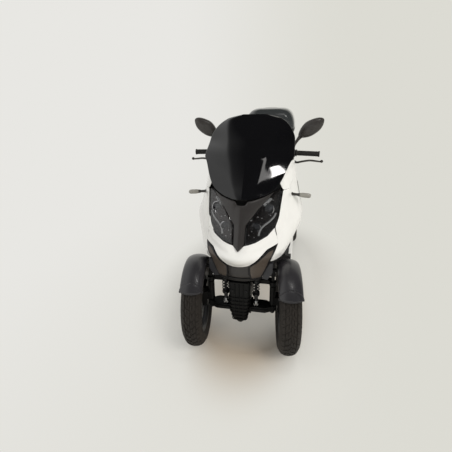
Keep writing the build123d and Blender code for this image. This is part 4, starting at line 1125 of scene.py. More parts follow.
def finish_group(tree: Tree, instances: Socket, material: Socket) -> Tree:
    """Ends a tree with realized instances and a material."""
    real = add_node(tree, "GeometryNodeRealizeInstances", {"Geometry": instances})
    painted = add_node(tree, "GeometryNodeSetMaterial", {"Geometry": real.outputs[0], "Material": material})
    add_node(tree, "NodeGroupOutput", {0: painted.outputs[0]})
    return tree


@cache
def ring_tree() -> Tree:
    """Makes the tree that repeats a unit round the X axis."""
    tree, given = node_group("repeat_round_axle", [("Unit", "Object"), ("Count", "Int"),
        ("Finish", "Material")])
    unit = add_node(tree, "GeometryNodeObjectInfo", {"Object": given.outputs["Unit"]})
    points = add_node(tree, "GeometryNodePoints", {"Count": given.outputs["Count"]})
    index = add_node(tree, "GeometryNodeInputIndex")
    step = maths(tree, "DIVIDE", 2 * math.pi, given.outputs["Count"])
    turn = add_node(tree, "ShaderNodeCombineXYZ", {"X": maths(tree, "MULTIPLY", index.outputs[0], step)})
    placed = add_node(tree, "GeometryNodeInstanceOnPoints",
        {"Points": points.outputs[0], "Instance": unit.outputs["Geometry"], "Rotation": turn.outputs[0]})
    return finish_group(tree, placed.outputs[0], given.outputs["Finish"])


@cache
def spot_tree() -> Tree:
    """Makes the tree that puts a unit on marked places, turned to each place's aim."""
    tree, given = node_group("unit_on_marks", [("Unit", "Object"), ("Scale", "Float"),
        ("Finish", "Material")])
    unit = add_node(tree, "GeometryNodeObjectInfo", {"Object": given.outputs["Unit"]})
    aim = add_node(tree, "GeometryNodeInputNamedAttribute", {"Name": "aim"}, data_type="FLOAT_VECTOR")
    turn = add_node(tree, "FunctionNodeAlignRotationToVector", {"Vector": aim.outputs["Attribute"]}, axis="Z")
    placed = add_node(tree, "GeometryNodeInstanceOnPoints",
        {"Points": given.outputs["Geometry"], "Instance": unit.outputs["Geometry"],
        "Rotation": turn.outputs[0], "Scale": given.outputs["Scale"]})
    return finish_group(tree, placed.outputs[0], given.outputs["Finish"])


@cache
def spring_tree() -> Tree:
    """Makes the tree that winds a coil spring upwards from the origin."""
    tree, given = node_group("wound_spring", [("Turns", "Float"), ("Radius", "Float"), ("Height", "Float"),
        ("Wire", "Float"), ("Finish", "Material")])
    coil = add_node(tree, "GeometryNodeCurveSpiral", {"Resolution": 22, "Rotations": given.outputs["Turns"],
        "Start Radius": given.outputs["Radius"], "End Radius": given.outputs["Radius"],
        "Height": given.outputs["Height"]})
    wire = add_node(tree, "GeometryNodeCurvePrimitiveCircle",
        {"Resolution": 10, "Radius": given.outputs["Wire"]})
    body = add_node(tree, "GeometryNodeCurveToMesh", {"Curve": coil.outputs[0],
        "Profile Curve": wire.outputs[0], "Fill Caps": True})
    return finish_group(tree, body.outputs[0], given.outputs["Finish"])


def applied(made: Thing) -> Mesh:
    """Gives an object's mesh with its modifiers applied."""
    bpy.context.view_layer.update()
    graph = bpy.context.evaluated_depsgraph_get()
    return bpy.data.meshes.new_from_object(made.evaluated_get(graph), depsgraph=graph)


def run_tree(tree: Tree, base: Mesh, name: str, inputs: dict[str, Any]) -> Mesh:
    """Runs a Geometry Nodes tree and gives its result as a plain mesh.

    Args:
        tree: The tree.
        base: Mesh that carries the modifier.
        name: Name of the result.
        inputs: Value of each named input.

    Returns:
        The mesh.
    """
    holder = linked(name + "_maker", base)
    modifier = holder.modifiers.new("maker", "NODES")
    modifier.node_group = tree
    ids = {s.name: s.identifier for s in tree.interface.items_tree if s.item_type == "SOCKET"
        and s.in_out == "INPUT"}
    for key, value in inputs.items():
        modifier[ids[key]] = value
    made = applied(holder)
    made.name = name
    bpy.data.objects.remove(holder)
    return made


def unit_object(name: str, shape: Shape, finish: Finish) -> Thing:
    """Makes a unit to be repeated, in metres about the origin."""
    mesh = mesh_of(name, np.vstack(shape.verts) * MM, shape, finish.build())
    welded(mesh)
    return linked(name, mesh)


def repeat_on_marks(name: str, shape: Shape, marks: Sequence[tuple[Sequence[float], Sequence[float]]],
        finish: Finish, body: str = "chassis", sharp_deg: float = 35.0) -> None:
    """Repeats a unit on marked places.

    Args:
        name: The piece's name.
        shape: The unit, about the origin and standing along Z.
        marks: Place and outward direction of each copy, in millimetres from the front axle.
        finish: Its finish.
        body: The CAD body that carries it.
        sharp_deg: Edges sharper than this stay crisp.
    """
    unit = unit_object(name + "_unit", shape, finish)
    base = bpy.data.meshes.new(name + "_marks")
    base.from_pydata(DATUM.place(np.array([m[0] for m in marks])).tolist(), [], [])
    aim = base.attributes.new("aim", "FLOAT_VECTOR", "POINT")
    aim.data.foreach_set("vector", np.array([m[1] for m in marks], float).ravel())
    mesh = run_tree(spot_tree(), base, name, {"Unit": unit, "Scale": 1.0, "Finish": finish.build()})
    bpy.data.objects.remove(unit)
    settle(bpy.data.objects.new(name, mesh), finish.slot, body, sharp_deg=sharp_deg)


def bolt_heads(name: str, marks: Sequence[tuple[Sequence[float], Sequence[float]]], size: float,
        body: str = "chassis", finish: Finish = BRIGHT_STEEL) -> None:
    """Puts socket-headed bolts of a radius in millimetres on marked places."""
    head = Shape().turned([(-1.0, 0.4), (-1.0, 1.0), (0.55, 1.0), (0.7, 0.86), (0.7, 0.5), (0.25, 0.46),
        (0.25, 0.01)], (0, 0, 0), (0, 0, 1), 12)
    repeat_on_marks(name, head.moved(lambda p: p * size), marks, finish, body)


# ---- Wheels ----

@dataclass
class Wheel:
    """A cast wheel, its brake disc and its grooved tyre."""

    side: int
    front: bool
    radius: float = 266.0
    groove: float = 4.5
    pads_round: int = 38
    rim_radius: float = 178.0
    rim_half: float = 42.0
    hub_width: float = 62.0
    disc_radius: float = 120.0
    profile: tuple[Pair, ...] = ((0, 266), (14, 264.6), (28, 260.6), (39.5, 253.2), (48.5, 242.5), (54, 232),
        (57.5, 222), (57.6, 212), (54.5, 202.5), (47.5, 194), (39.5, 187.5), (37.4, 178.4))

    @property
    def label(self) -> str:
        """Gives the wheel's place in words."""
        return f"{'front' if self.front else 'rear'}_{'left' if self.side > 0 else 'right'}"

    def outer(self, across: Points) -> Points:
        """Gives the tyre's radius at distances from its middle."""
        x, r = [p[0] for p in self.profile[:7]], [p[1] for p in self.profile[:7]]
        return eased(x, r, np.abs(across))

    def centre(self) -> Points:
        """Gives the wheel's middle."""
        half = DATUM.half_track if self.front else DATUM.rear_half_track
        return np.array([self.side * half, 0 if self.front else DATUM.wheelbase, self.radius])

    def seat(self, points: Points) -> Points:
        """Moves points about the origin to the wheel's place, its open side inwards."""
        moved = points * np.array([self.side, self.side, 1]) + self.centre()
        return DATUM.parked_wheel(self.side)(moved) if self.front else moved

    def tread_unit(self) -> Shape:
        """Builds one pitch of tread: slanted pads on both shoulders and a broken middle rib."""
        pitch = 2 * math.pi * self.radius / self.pads_round
        pads = [[(1.5, 0.06), (11, 0.30), (11, 0.92), (1.5, 0.70)],
            [(14.5, 0.30), (27, 0.62), (27, 1.16), (14.5, 0.84)],
            [(30.5, 0.66), (46, 0.98), (46, 1.46), (30.5, 1.26)],
            [(30.5, 0.18), (46, 0.52), (46, 0.86), (30.5, 0.56)],]
        shape = Shape()
        for sign, shift in ((1, 0.0), (-1, 0.5)):
            for corners in pads:
                across, along = [], []
                for (x0, v0), (x1, v1) in zip(corners, corners[1:] + corners[:1]):
                    steps = 4
                    for k in range(steps):
                        across.append(x0 + (x1 - x0) * k / steps)
                        along.append(v0 + (v1 - v0) * k / steps)
                x = np.array(across) * sign
                v = (np.array(along) + shift) * pitch
                mx, mv = x.mean(), v.mean()
                rings = []
                for share, drop in ((1.0, self.groove + 0.6), (0.93, 0.5), (0.85, 0.0), (0.4, -0.1)):
                    px, pv = mx + (x - mx) * share, mv + (v - mv) * share
                    r = self.outer(px) - drop
                    angle = pv / self.radius
                    rings.append(np.stack([px, -r * np.sin(angle), r * np.cos(angle)], -1))
                n = len(x)
                faces = [[i * n + j, i * n + (j + 1) % n, (i + 1) * n + (j + 1) % n, (i + 1) * n + j]
                    for i in range(3) for j in range(n)]
                faces.append([3 * n + j for j in range(n)])
                shape.add(np.vstack(rings), faces)
        return shape

    def build(self) -> None:
        """Builds the tyre and the wheel."""
        body = f"wheel_{self.label}"
        carcass = []
        for x, r in self.profile:
            carcass.append((x, r - self.groove * float(faded(50, 44, np.array(x)))))
        loop = carcass[::-1] + [(-x, r) for x, r in carcass[1:]]
        tyre = Shape().turned(loop, sides=120)
        for x, r, w in ((55.4, 228.5, 0.9), (52.0, 200.0, 1.0)):
            for s in (1, -1):
                ring = [(s * (x + w * 1.1 * math.cos(t)), r + w * 1.6 * math.sin(t)) for t in around(8)]
                tyre.turned(ring, sides=90)
        make_piece(f"tyre_carcass_{self.label}", tyre.moved(self.seat), TYRE_RUBBER, body,
            [f"tyre_{self.label}"])
        unit = unit_object("tread_unit", self.tread_unit(), TYRE_RUBBER)
        mesh = run_tree(ring_tree(), bpy.data.meshes.new("base"), f"tyre_tread_{self.label}",
            {"Unit": unit, "Count": self.pads_round, "Finish": TYRE_RUBBER.build()})
        bpy.data.objects.remove(unit)
        settle_moved(mesh, self.seat, TYRE_RUBBER, body, 32)
        self.build_rim(body)

    def build_rim(self, body: str) -> None:
        """Builds the barrel, spokes, hub, valve and brake disc."""
        h, inner = self.rim_half, self.rim_radius - 7
        rim = Shape()
        rim.turned([(-h, inner - 4), (-h - 0.5, self.rim_radius + 6), (-h + 1.5, self.rim_radius + 8),
            (-h + 4, self.rim_radius + 7), (-h + 6, self.rim_radius - 0.6), (h - 6, self.rim_radius - 0.6),
            (h - 4, self.rim_radius + 7), (h - 1.5, self.rim_radius + 8), (h + 0.5, self.rim_radius + 6),
            (h, inner - 4), (h - 12, inner - 14), (0, inner - 9), (-h + 12, inner - 14)], (0, 0, 0),
            (1, 0, 0), 96)
        hub_in = h - self.hub_width
        rim.turned([(hub_in, 12.5), (hub_in, 40), (hub_in + 6, 45), (hub_in + 14, 36), (h - 16, 34),
            (h - 3, 38), (h - 0.5, 34), (h - 0.5, 12.5)])
        for i in range(5):
            turn = 2 * math.pi * i / 5
            c, s = math.cos(turn), math.sin(turn)
            for sway in (-1, 1):
                rows = []
                for t in np.linspace(0, 1, 9):
                    r = 26 + (inner - 8 - 26) * t
                    mid = sway * (9 + 17 * t ** 1.6)
                    wide, deep = 9.5 - 2.5 * t, 15 - 5 * t
                    front = h - 4 - 6 * t
                    ring = [(front - deep, mid - wide), (front - 3, mid - wide), (front, mid - wide + 3.5),
                        (front, mid + wide - 3.5), (front - 3, mid + wide), (front - deep, mid + wide)]
                    rows.append([(x, y * c - r * s, y * s + r * c) for x, y in ring])
                rim.loft(rows)
        valve = curve_through([(6, 0, inner - 14), (10, 0, inner - 26), (22, 0, inner - 38)], 8)
        rim.tube(valve, 3.2, 10)
        make_piece(f"rim_casting_{self.label}", rim.moved(self.seat), WHEEL_CASTING, body,
            [f"rim_{self.label}"], sharp_deg=35)
        disc = Shape()
        disc.turned([(hub_in, self.disc_radius - 34), (hub_in, self.disc_radius),
            (hub_in + 5, self.disc_radius), (hub_in + 5, self.disc_radius - 34)], sides=72)
        for i in range(5):
            turn = 2 * math.pi * (i + 0.5) / 5
            c, s = math.cos(turn), math.sin(turn)
            rows = [[(hub_in + dx, y * c - r * s, y * s + r * c) for dx,
                y in ((0.6, -w), (4.4, -w), (4.4, w), (0.6, w))] for r,
                w in ((34, 15), (60, 8), (self.disc_radius - 32, 10))]
            disc.loft(rows)
        make_piece(f"brake_disc_{self.label}", disc.moved(self.seat), BRAKE_STEEL, body, sharp_deg=35)


@dataclass
class Mudguard:
    """A crowned mudguard with a folded front lip."""

    side: int
    front: bool
    radius: float = 277.0
    half: float = 63.0
    drop: float = 27.0
    start_deg: float = 48.0
    end_deg: float = 72.0
    rear_degs: Pair = (62.0, 82.0)
    wall: float = 3.0
    lip_wall: float = 1.6

    def surface(self, ahead: Points, across: Points, rise: float = 0.0) -> Points:
        """Gives points over the wheel.

        Args:
            ahead: Angles from the top, forwards positive, in degrees.
            across: Places across, from -1 to 1.
            rise: How far outside the guard's own face.

        Returns:
            Array of rows by columns by three, about the wheel's middle.
        """
        a = np.radians(ahead)[:, None]
        t = across[None, :]
        lean = t * math.pi / 2 * 0.98
        x = (self.half + rise * np.abs(t)) * np.sin(lean)
        r = self.radius + rise - self.drop * (1 - np.cos(lean)) * (1 + 0.12 * np.cos(a))
        return np.stack([np.broadcast_to(x, (len(ahead), len(across))), -r * np.sin(a), r * np.cos(a)], -1)

    def build(self) -> None:
        """Builds the guard and its lip."""
        word = "left" if self.side > 0 else "right"
        wheel = Wheel(self.side, self.front)
        body = f"knuckle_{word}" if self.front else "chassis"
        if not self.front:
            self.start_deg, self.end_deg = self.rear_degs
            self.build_stays(wheel, word)
        across = np.linspace(-1, 1, 27)
        points = self.surface(np.linspace(self.start_deg, -self.end_deg, 64), across)
        tongue = [self.row(self.start_deg + k * (3.4 - 6.0 * across ** 2), across)
            for k in np.linspace(1, 0, 5)]
        shell = Shape().grid(np.vstack([tongue, points[1:]]))
        name = f"mudguard_{'front' if self.front else 'rear'}_{word}"
        nodes = [f"front_fender_{word}"] if self.front else ["rear_fenders"] if self.side > 0 else []
        make_piece(name, shell.moved(self.seat), GUARD_MOULDING, body, nodes, wall=self.wall,
            away=wheel.centre())
        if self.front:
            self.build_lip(wheel, body, word)

    def seat(self, points: Points) -> Points:
        """Moves points about the origin over the wheel, keeping front and rear."""
        moved = points * np.array([self.side, 1, 1]) + Wheel(self.side, self.front).centre()
        return DATUM.parked_wheel(self.side)(moved) if self.front else moved

    def build_stays(self, wheel: Wheel, word: str) -> None:
        """Builds the bracket that holds a rear guard to its arm."""
        x, y, z = wheel.centre()
        inner = abs(x) - self.half
        line = curve_through([(inner - 9, y + 26, z - 14), (inner - 9, y + 26, z + 150),
            (inner - 8, y + 26, z + 236), (inner + 2, y + 26, z + 255)], 30)
        stay = Shape().tube(line * np.array([self.side, 1, 1]), 6.0, 10)
        make_piece(f"rear_guard_stay_{word}", stay, ARM_CASTING)

    def row(self, ahead: Points, across: Points, rise: float = 0.0) -> Points:
        """Gives one point over the wheel for each pair of an angle and a place across."""
        return np.stack([self.surface(ahead[i:i + 1], across[i:i + 1], rise)[0, 0]
            for i in range(len(across))])

    def build_lip(self, wheel: Wheel, body: str, word: str) -> None:
        """Builds the folded lip whose upper edge makes a shallow V."""
        across, rows = np.linspace(-0.9, 0.9, 21), []
        low, high = self.start_deg + 2.6 - 5.0 * across ** 2, self.start_deg - 11 + 7.5 * np.abs(across)
        for k in np.linspace(0, 1, 9):
            rows.append(self.row(low + (high - low) * k, across, 1.9 if 0 < k < 1 else 0.2))
        make_piece(f"mudguard_lip_{word}", Shape().grid(rows).moved(self.seat), GUARD_MOULDING, body,
            sharp_deg=30, wall=self.lip_wall, away=wheel.centre())


# ---- Suspension, frame and engine ----

@dataclass
class FrontSuspension:
    """Shock absorbers, ribs and bolts on the front suspension's castings."""

    shock_x: float = 88.0
    shock_y: float = -24.0
    foot_z: float = 277.0
    top_z: float = 560.0
    carrier_levels: tuple[float, ...] = (178, 212, 300, 450)

    def carrier_front(self, z: float) -> float:
        """Gives how far back the carrier's front lies at a height."""
        return float(np.interp(z, self.carrier_levels, [-62, -82, -86, -80]))

    def build(self) -> None:
        """Dresses the CAD castings and adds what they carry."""
        softened("front_arms", ARM_CASTING, 4.0)
        softened("front_carrier", ARM_CASTING, 4.0)
        for node in ("knuckle_left", "knuckle_right"):
            softened(node, ARM_CASTING, 2.5, node)
        self.build_shocks()
        self.build_ribs()
        self.build_bolts()

    def build_shocks(self) -> None:
        """Builds both shock absorbers with wound springs."""
        x, y, z = self.shock_x, self.shock_y, self.foot_z
        body, bright = Shape(), Shape()
        body.turned([(150, 1), (150, 16), (160, 18), (self.top_z - z - 12, 18), (self.top_z - z - 1, 14),
            (self.top_z - z - 1, 1)], (x, y, z), (0, 0, 1), 28)
        body.turned([(70, 1), (70, 19), (78, 21), (84, 21), (84, 1)], (x, y, z), (0, 0, 1), 28)
        body.turned([(self.top_z - z - 34, 14), (self.top_z - z - 34, 21), (self.top_z - z - 26, 21),
            (self.top_z - z - 24, 14)], (x, y, z), (0, 0, 1), 28)
        body.turned([(33, 1), (33, 11), (70, 11), (70, 7.5), (152, 7.5), (152, 1)], (x, y, z), (0, 0, 1), 26)
        bright.turned([(6, 1), (6, 10), (12, 13), (34, 13.5), (38, 11), (38, 1)], (x, y, z), (0, 0, 1), 26)
        bright.turned([(-15, 1), (-15, 12), (-13, 13.5), (13, 13.5), (15, 12), (15, 1)], (x, y + 6, z + 14),
            (0, 1, 0), 24)
        make_piece("front_shock_bodies", body.mirrored(), SHOCK_BODY, replaces=["front_shocks"])
        make_piece("front_shock_rods", bright.mirrored(), BRIGHT_STEEL)
        for side, word in SIDES:
            wind_spring(f"front_spring_{word}", (side * x, y, z + 84), (side * x, y, self.top_z - 36), 17.6,
                2.9, 9)

    def build_ribs(self) -> None:
        """Builds the carrier's foot, its cast ribs and the bars along the lower arms."""
        ribs = Shape()
        turn = around(24)
        cap = [[(28 * math.cos(p) * math.cos(t), -42 + 26 * math.cos(p) * math.sin(t), 200 + 22 * math.sin(p))
            for t in turn] for p in np.linspace(-1.5, 1.2, 14)]
        ribs.loft(cap)
        for k in range(7):
            z = 212 + 24 * k
            half = np.interp(z, self.carrier_levels, [14, 40, 56, 62])
            front = self.carrier_front(z)
            line = [(-half - 2, front + 34, z), (-half - 1, front + 12, z), (-half + 12, front - 1.5, z),
                (half - 12, front - 1.5, z), (half + 1, front + 12, z), (half + 2, front + 34, z)]
            ribs.tube(curve_through(line, 22), 3.4, 8)
        for x in (-24, 0, 24):
            path = [(x, self.carrier_front(z) - 1.5, z) for z in np.linspace(206, 440, 12)]
            ribs.tube(path, 3.0, 8)
        for side in (-1, 1):
            for y in (-42, 42):
                ribs.tube(spaced(np.array([(side * 64, y, 262), (side * 139, y, 262),
                    (side * 168, y * 0.45, 262)]), 8, closed=False), 5.0, 8)
        make_piece("carrier_ribs", ribs, ARM_CASTING)

    def build_bolts(self) -> None:
        """Builds the pivots' bolts and the king pins' caps."""
        marks = [((side * x, y, z), (0, -1, 0)) for x, y, levels in ((74, -43, (260,)), (40, -81, (330, 400)))
            for side in (-1, 1) for z in levels]
        bolt_heads("carrier_bolts", marks, 8.0, finish=SPRING_STEEL)
        for side, word in SIDES:
            bolt_heads(f"kingpin_cap_{word}", [((side * 180, 0, 235), (0, 0, -1))], 13.0, f"knuckle_{word}",
                SPRING_STEEL)


def wind_spring(name: str, low: Sequence[float], high: Sequence[float], radius: float, wire: float,
        turns: float) -> None:
    """Winds a spring between two points.

    Args:
        name: The piece's name.
        low: Its lower end.
        high: Its upper end.
        radius: Radius of the wire's middle line.
        wire: Radius of the wire.
        turns: How many turns it has.
    """
    a, b = Vector(low), Vector(high)
    mesh = run_tree(spring_tree(), bpy.data.meshes.new("base"), name,
        {"Turns": turns, "Radius": radius * MM, "Height": (b - a).length * MM, "Wire": wire * MM,
        "Finish": SPRING_STEEL.build()})
    turn = np.array((b - a).to_track_quat("Z", "Y").to_matrix())
    settle_moved(mesh, lambda co: co @ turn.T + np.array(a), SPRING_STEEL, "chassis", 50)


def softened(node: str, finish: Finish, width_mm: float, body: str = "chassis") -> None:
    """Stands a copy of a CAD node with eased edges in its place.

    Args:
        node: The CAD node.
        finish: Its finish.
        width_mm: How far its edges are eased, or 0 for none.
        body: The body that carries it.
    """
    mesh = bpy.data.objects[node].data.copy()
    mesh.name = node + "_shell"
    mesh.materials.clear()
    mesh.materials.append(finish.build())
    work = bmesh.new()
    work.from_mesh(mesh)
    bmesh.ops.remove_doubles(work, verts=work.verts, dist=2e-5)
    bmesh.ops.dissolve_limit(work, angle_limit=math.radians(0.6), verts=work.verts, edges=work.edges)
    work.to_mesh(mesh)
    work.free()
    mesh.polygons.foreach_set("material_index", [0] * len(mesh.polygons))
    made = settle(bpy.data.objects.new(mesh.name, mesh), finish.slot, body, [node], CREASE_DEG)
    if width_mm:
        edge = made.modifiers.new("eased_edges", "BEVEL")
        edge.width = width_mm * MM
        edge.segments = 3
        edge.limit_method = "ANGLE"
        edge.angle_limit = math.radians(CREASE_DEG)
        edge.use_clamp_overlap = True


# ---- Stage ----

@dataclass
class Stage:
    """Pale floor and backdrop, soft lamps and the camera."""

    # The wall's colour at the left, and darker at the right as painted shade.
    wall_with_painted_shade: tuple[str, str] = ("e8e7e3", "dcdbd3")
    # Tan painted shade under the scooter, then the plain floor.
    painted_shade_and_floor_colours: tuple[str, str] = ("c9b8a2", "f0eee8")
    place: tuple[float, float, float] = (285.65, -1603.2, 1404.72)
    yaw: float = -12.94
    pitch: float = 21.64
    roll: float = -1.58
    focal: float = 325.81
    frame: float = 452.0
    sensor: float = 36.0
    # Share of the wall's colour that glows on the floor between the wheels: painted light.
    painted_glow_share: float = 0.36
    world_level: float = 0.54
    lamps: tuple[tuple[str, tuple[float, ...], tuple[float, ...], Pair, float],
        ...] = (("key", (3.2, -3.2, 3.4), (0, -0.3, 0.7), (2.2, 2.2), 128.0),
        ("fill", (-3.4, -2.2, 2.6), (0, -0.2, 0.7), (2.4, 2.4), 26.0),
        ("window", (0.80, -1.30, 3.4), (0.20, -0.38, 1.0), (0.12, 0.48), 5.5),
        ("strip", (0.38, -1.12, 3.4), (-0.02, -0.70, 1.0), (0.20, 1.10), 1.8))

    def build(self) -> None:
        """Builds everything that isn't the scooter."""
        self.build_room()
        self.build_lamps()
        self.build_camera()
        bpy.context.scene.view_settings.view_transform = "Standard"

    def backdrop_material(self) -> Material:
        """Makes the room's matt paint: lit and shadowed round the wheels, plain and pale further off, with
        painted shade tinting the floor tan under the scooter, a painted glow between the wheels and painted
        shade darkening the wall towards the right.
        """
        made = bpy.data.materials.new("matt_room_paint")
        made.use_nodes = True
        tree = made.node_tree
        tree.nodes.clear()
        place = add_node(tree, "ShaderNodeTexCoord").outputs["Object"]
        parts = add_node(tree, "ShaderNodeSeparateXYZ", {"Vector": place})

        def ramp(value: Socket, low: float, high: float) -> Socket:
            """Gives a smooth rise from 0 to 1 between two values."""
            return add_node(tree, "ShaderNodeMapRange", {"Value": value, "From Min": low, "From Max": high},
                interpolation_type="SMOOTHSTEP").outputs[0]

        def reach(middle: Sequence[float], size: Sequence[float]) -> Socket:
            """Gives the distance from a spot in units of an ellipse's half sizes."""
            off = add_node(tree, "ShaderNodeVectorMath", {0: place, 1: middle}, operation="SUBTRACT")
            unit = add_node(tree, "ShaderNodeVectorMath", {0: off.outputs[0], 1: [1 / v for v in size]},
                operation="MULTIPLY")
            return add_node(tree, "ShaderNodeVectorMath", {0: unit.outputs[0]},
                operation="LENGTH").outputs["Value"]

        # Painted shade and reflection: the floor is tinted tan under the scooter, where its dark underside
        # shades it and shows in it.
        under = ramp(reach((0.0, -0.35, 0.0), (0.40, 1.0, 9.0)), 0.6, 1.1)
        # Painted light: between the wheels part of the floor glows with the wall's colour, lightening the
        # shadow there.
        between = ramp(reach((0.0, 0.25, 0.0), (0.5, 1.15, 9.0)), 1.15, 0.75)
        far = ramp(reach((0.0, -0.1, 0.0), (0.85, 1.5, 0.8)), 0.45, 1.05)
        # Painted shade: the wall's colour darkens towards the right.
        across = ramp(parts.outputs["X"], -2.4, 1.2)
        paint = add_node(tree, "ShaderNodeMix", {0: under, 6: linear(self.painted_shade_and_floor_colours[0]),
            7: linear(self.painted_shade_and_floor_colours[1])}, data_type="RGBA")
        wall = add_node(tree, "ShaderNodeMix", {0: across, 6: linear(self.wall_with_painted_shade[0]),
            7: linear(self.wall_with_painted_shade[1])}, data_type="RGBA")
        lit = add_node(tree, "ShaderNodeBsdfPrincipled", {"Base Color": paint.outputs[2], "Roughness": 0.32})
        plain = add_node(tree, "ShaderNodeEmission", {"Color": wall.outputs[2], "Strength": 1.0})
        path = add_node(tree, "ShaderNodeLightPath")
        seen = maths(tree, "MAXIMUM", path.outputs["Is Camera Ray"], path.outputs["Is Glossy Ray"])
        seen = maths(tree, "MAXIMUM", seen, path.outputs["Is Transmission Ray"])
        pale = maths(tree, "MAXIMUM", maths(tree, "MULTIPLY", between, self.painted_glow_share), far)
        both = add_node(tree, "ShaderNodeMixShader", {0: maths(tree, "MULTIPLY", seen, pale),
            1: lit.outputs[0], 2: plain.outputs[0]})
        add_node(tree, "ShaderNodeOutputMaterial", {"Surface": both.outputs[0]})
        return made

    def build_room(self) -> None:
        """Builds the floor that curves up into the backdrop."""
        rows = [(-6.0, 0.0), (3.0, 0.0)]
        rows += [(3.0 + 1.5 * math.sin(t), 1.5 - 1.5 * math.cos(t))
            for t in np.linspace(0.1, math.pi / 2, 12)]
        rows += [(4.5, 6.0)]
        points = np.array([[(x, y, z) for x in (-9.0, 9.0)] for y, z in rows])
        mesh = mesh_of("room", points.reshape(-1, 3), Shape().grid(points), self.backdrop_material())
        mesh.shade_smooth()
        linked("room", mesh)

    def build_lamps(self) -> None:
        """Builds the soft lamps and the pale surroundings."""
        world = bpy.data.worlds.new("surroundings")
        bpy.context.scene.world = world
        world.use_nodes = True
        tree = world.node_tree
        tree.nodes.clear()
        way = add_node(tree, "ShaderNodeTexCoord").outputs["Generated"]
        parts = add_node(tree, "ShaderNodeSeparateXYZ", {"Vector": way})
        top, left, right = (add_node(tree, "ShaderNodeMapRange",
            {"Value": parts.outputs[axis], "From Min": a, "From Max": b, "To Min": c, "To Max": d}).outputs[0]
            for axis, a, b, c, d in (("Z", 0.12, 0.45, 0.85, 0.03), ("X", -0.2, -0.5, 0.0, 0.9),
            ("X", 0.1, 0.6, 1.0, 0.25)))
        glow = maths(tree, "MAXIMUM", maths(tree, "MULTIPLY", top, right), left)
        path = add_node(tree, "ShaderNodeLightPath")
        level = add_node(tree, "ShaderNodeMix", {0: path.outputs["Is Glossy Ray"], 2: self.world_level,
            3: glow}, data_type="FLOAT")
        back = add_node(tree, "ShaderNodeBackground", {"Color": linear("f4f4f2"),
            "Strength": level.outputs[0]})
        add_node(tree, "ShaderNodeOutputWorld", {"Surface": back.outputs[0]})
        for name, place, aim, size, power in self.lamps:
            lamp = bpy.data.lights.new(name, "AREA")
            lamp.shape = "RECTANGLE"
            lamp.size, lamp.size_y = size
            lamp.energy = power
            lamp.color = linear("fffdfa")[:3]
            made = linked(name, lamp)
            made.location = place
            made.visible_glossy = name in ("window", "strip")
            made.rotation_euler = (Vector(aim) - Vector(place)).to_track_quat("-Z", "Y").to_euler()

    def build_camera(self) -> None:
        """Builds the camera at the viewing angle."""
        yaw, pitch, roll = (math.radians(v) for v in (self.yaw, self.pitch, self.roll))
        ahead = Vector((math.sin(yaw) * math.cos(pitch), math.cos(yaw) * math.cos(pitch), -math.sin(pitch)))
        across = Vector((math.cos(yaw), -math.sin(yaw), 0))
        above = across.cross(ahead)
        right = across * math.cos(roll) + above * math.sin(roll)
        up = above * math.cos(roll) - across * math.sin(roll)
        data = bpy.data.cameras.new("camera")
        data.sensor_width = self.sensor
        data.lens = self.sensor * self.focal / self.frame
        data.clip_end = 60.0
        camera = linked("camera", data)
        turn = Matrix((right, up, -ahead)).transposed().to_4x4()
        turn.translation = Vector(DATUM.place(np.array(self.place)))
        camera.matrix_world = turn
        bpy.context.scene.camera = camera


# ---- Controls ----

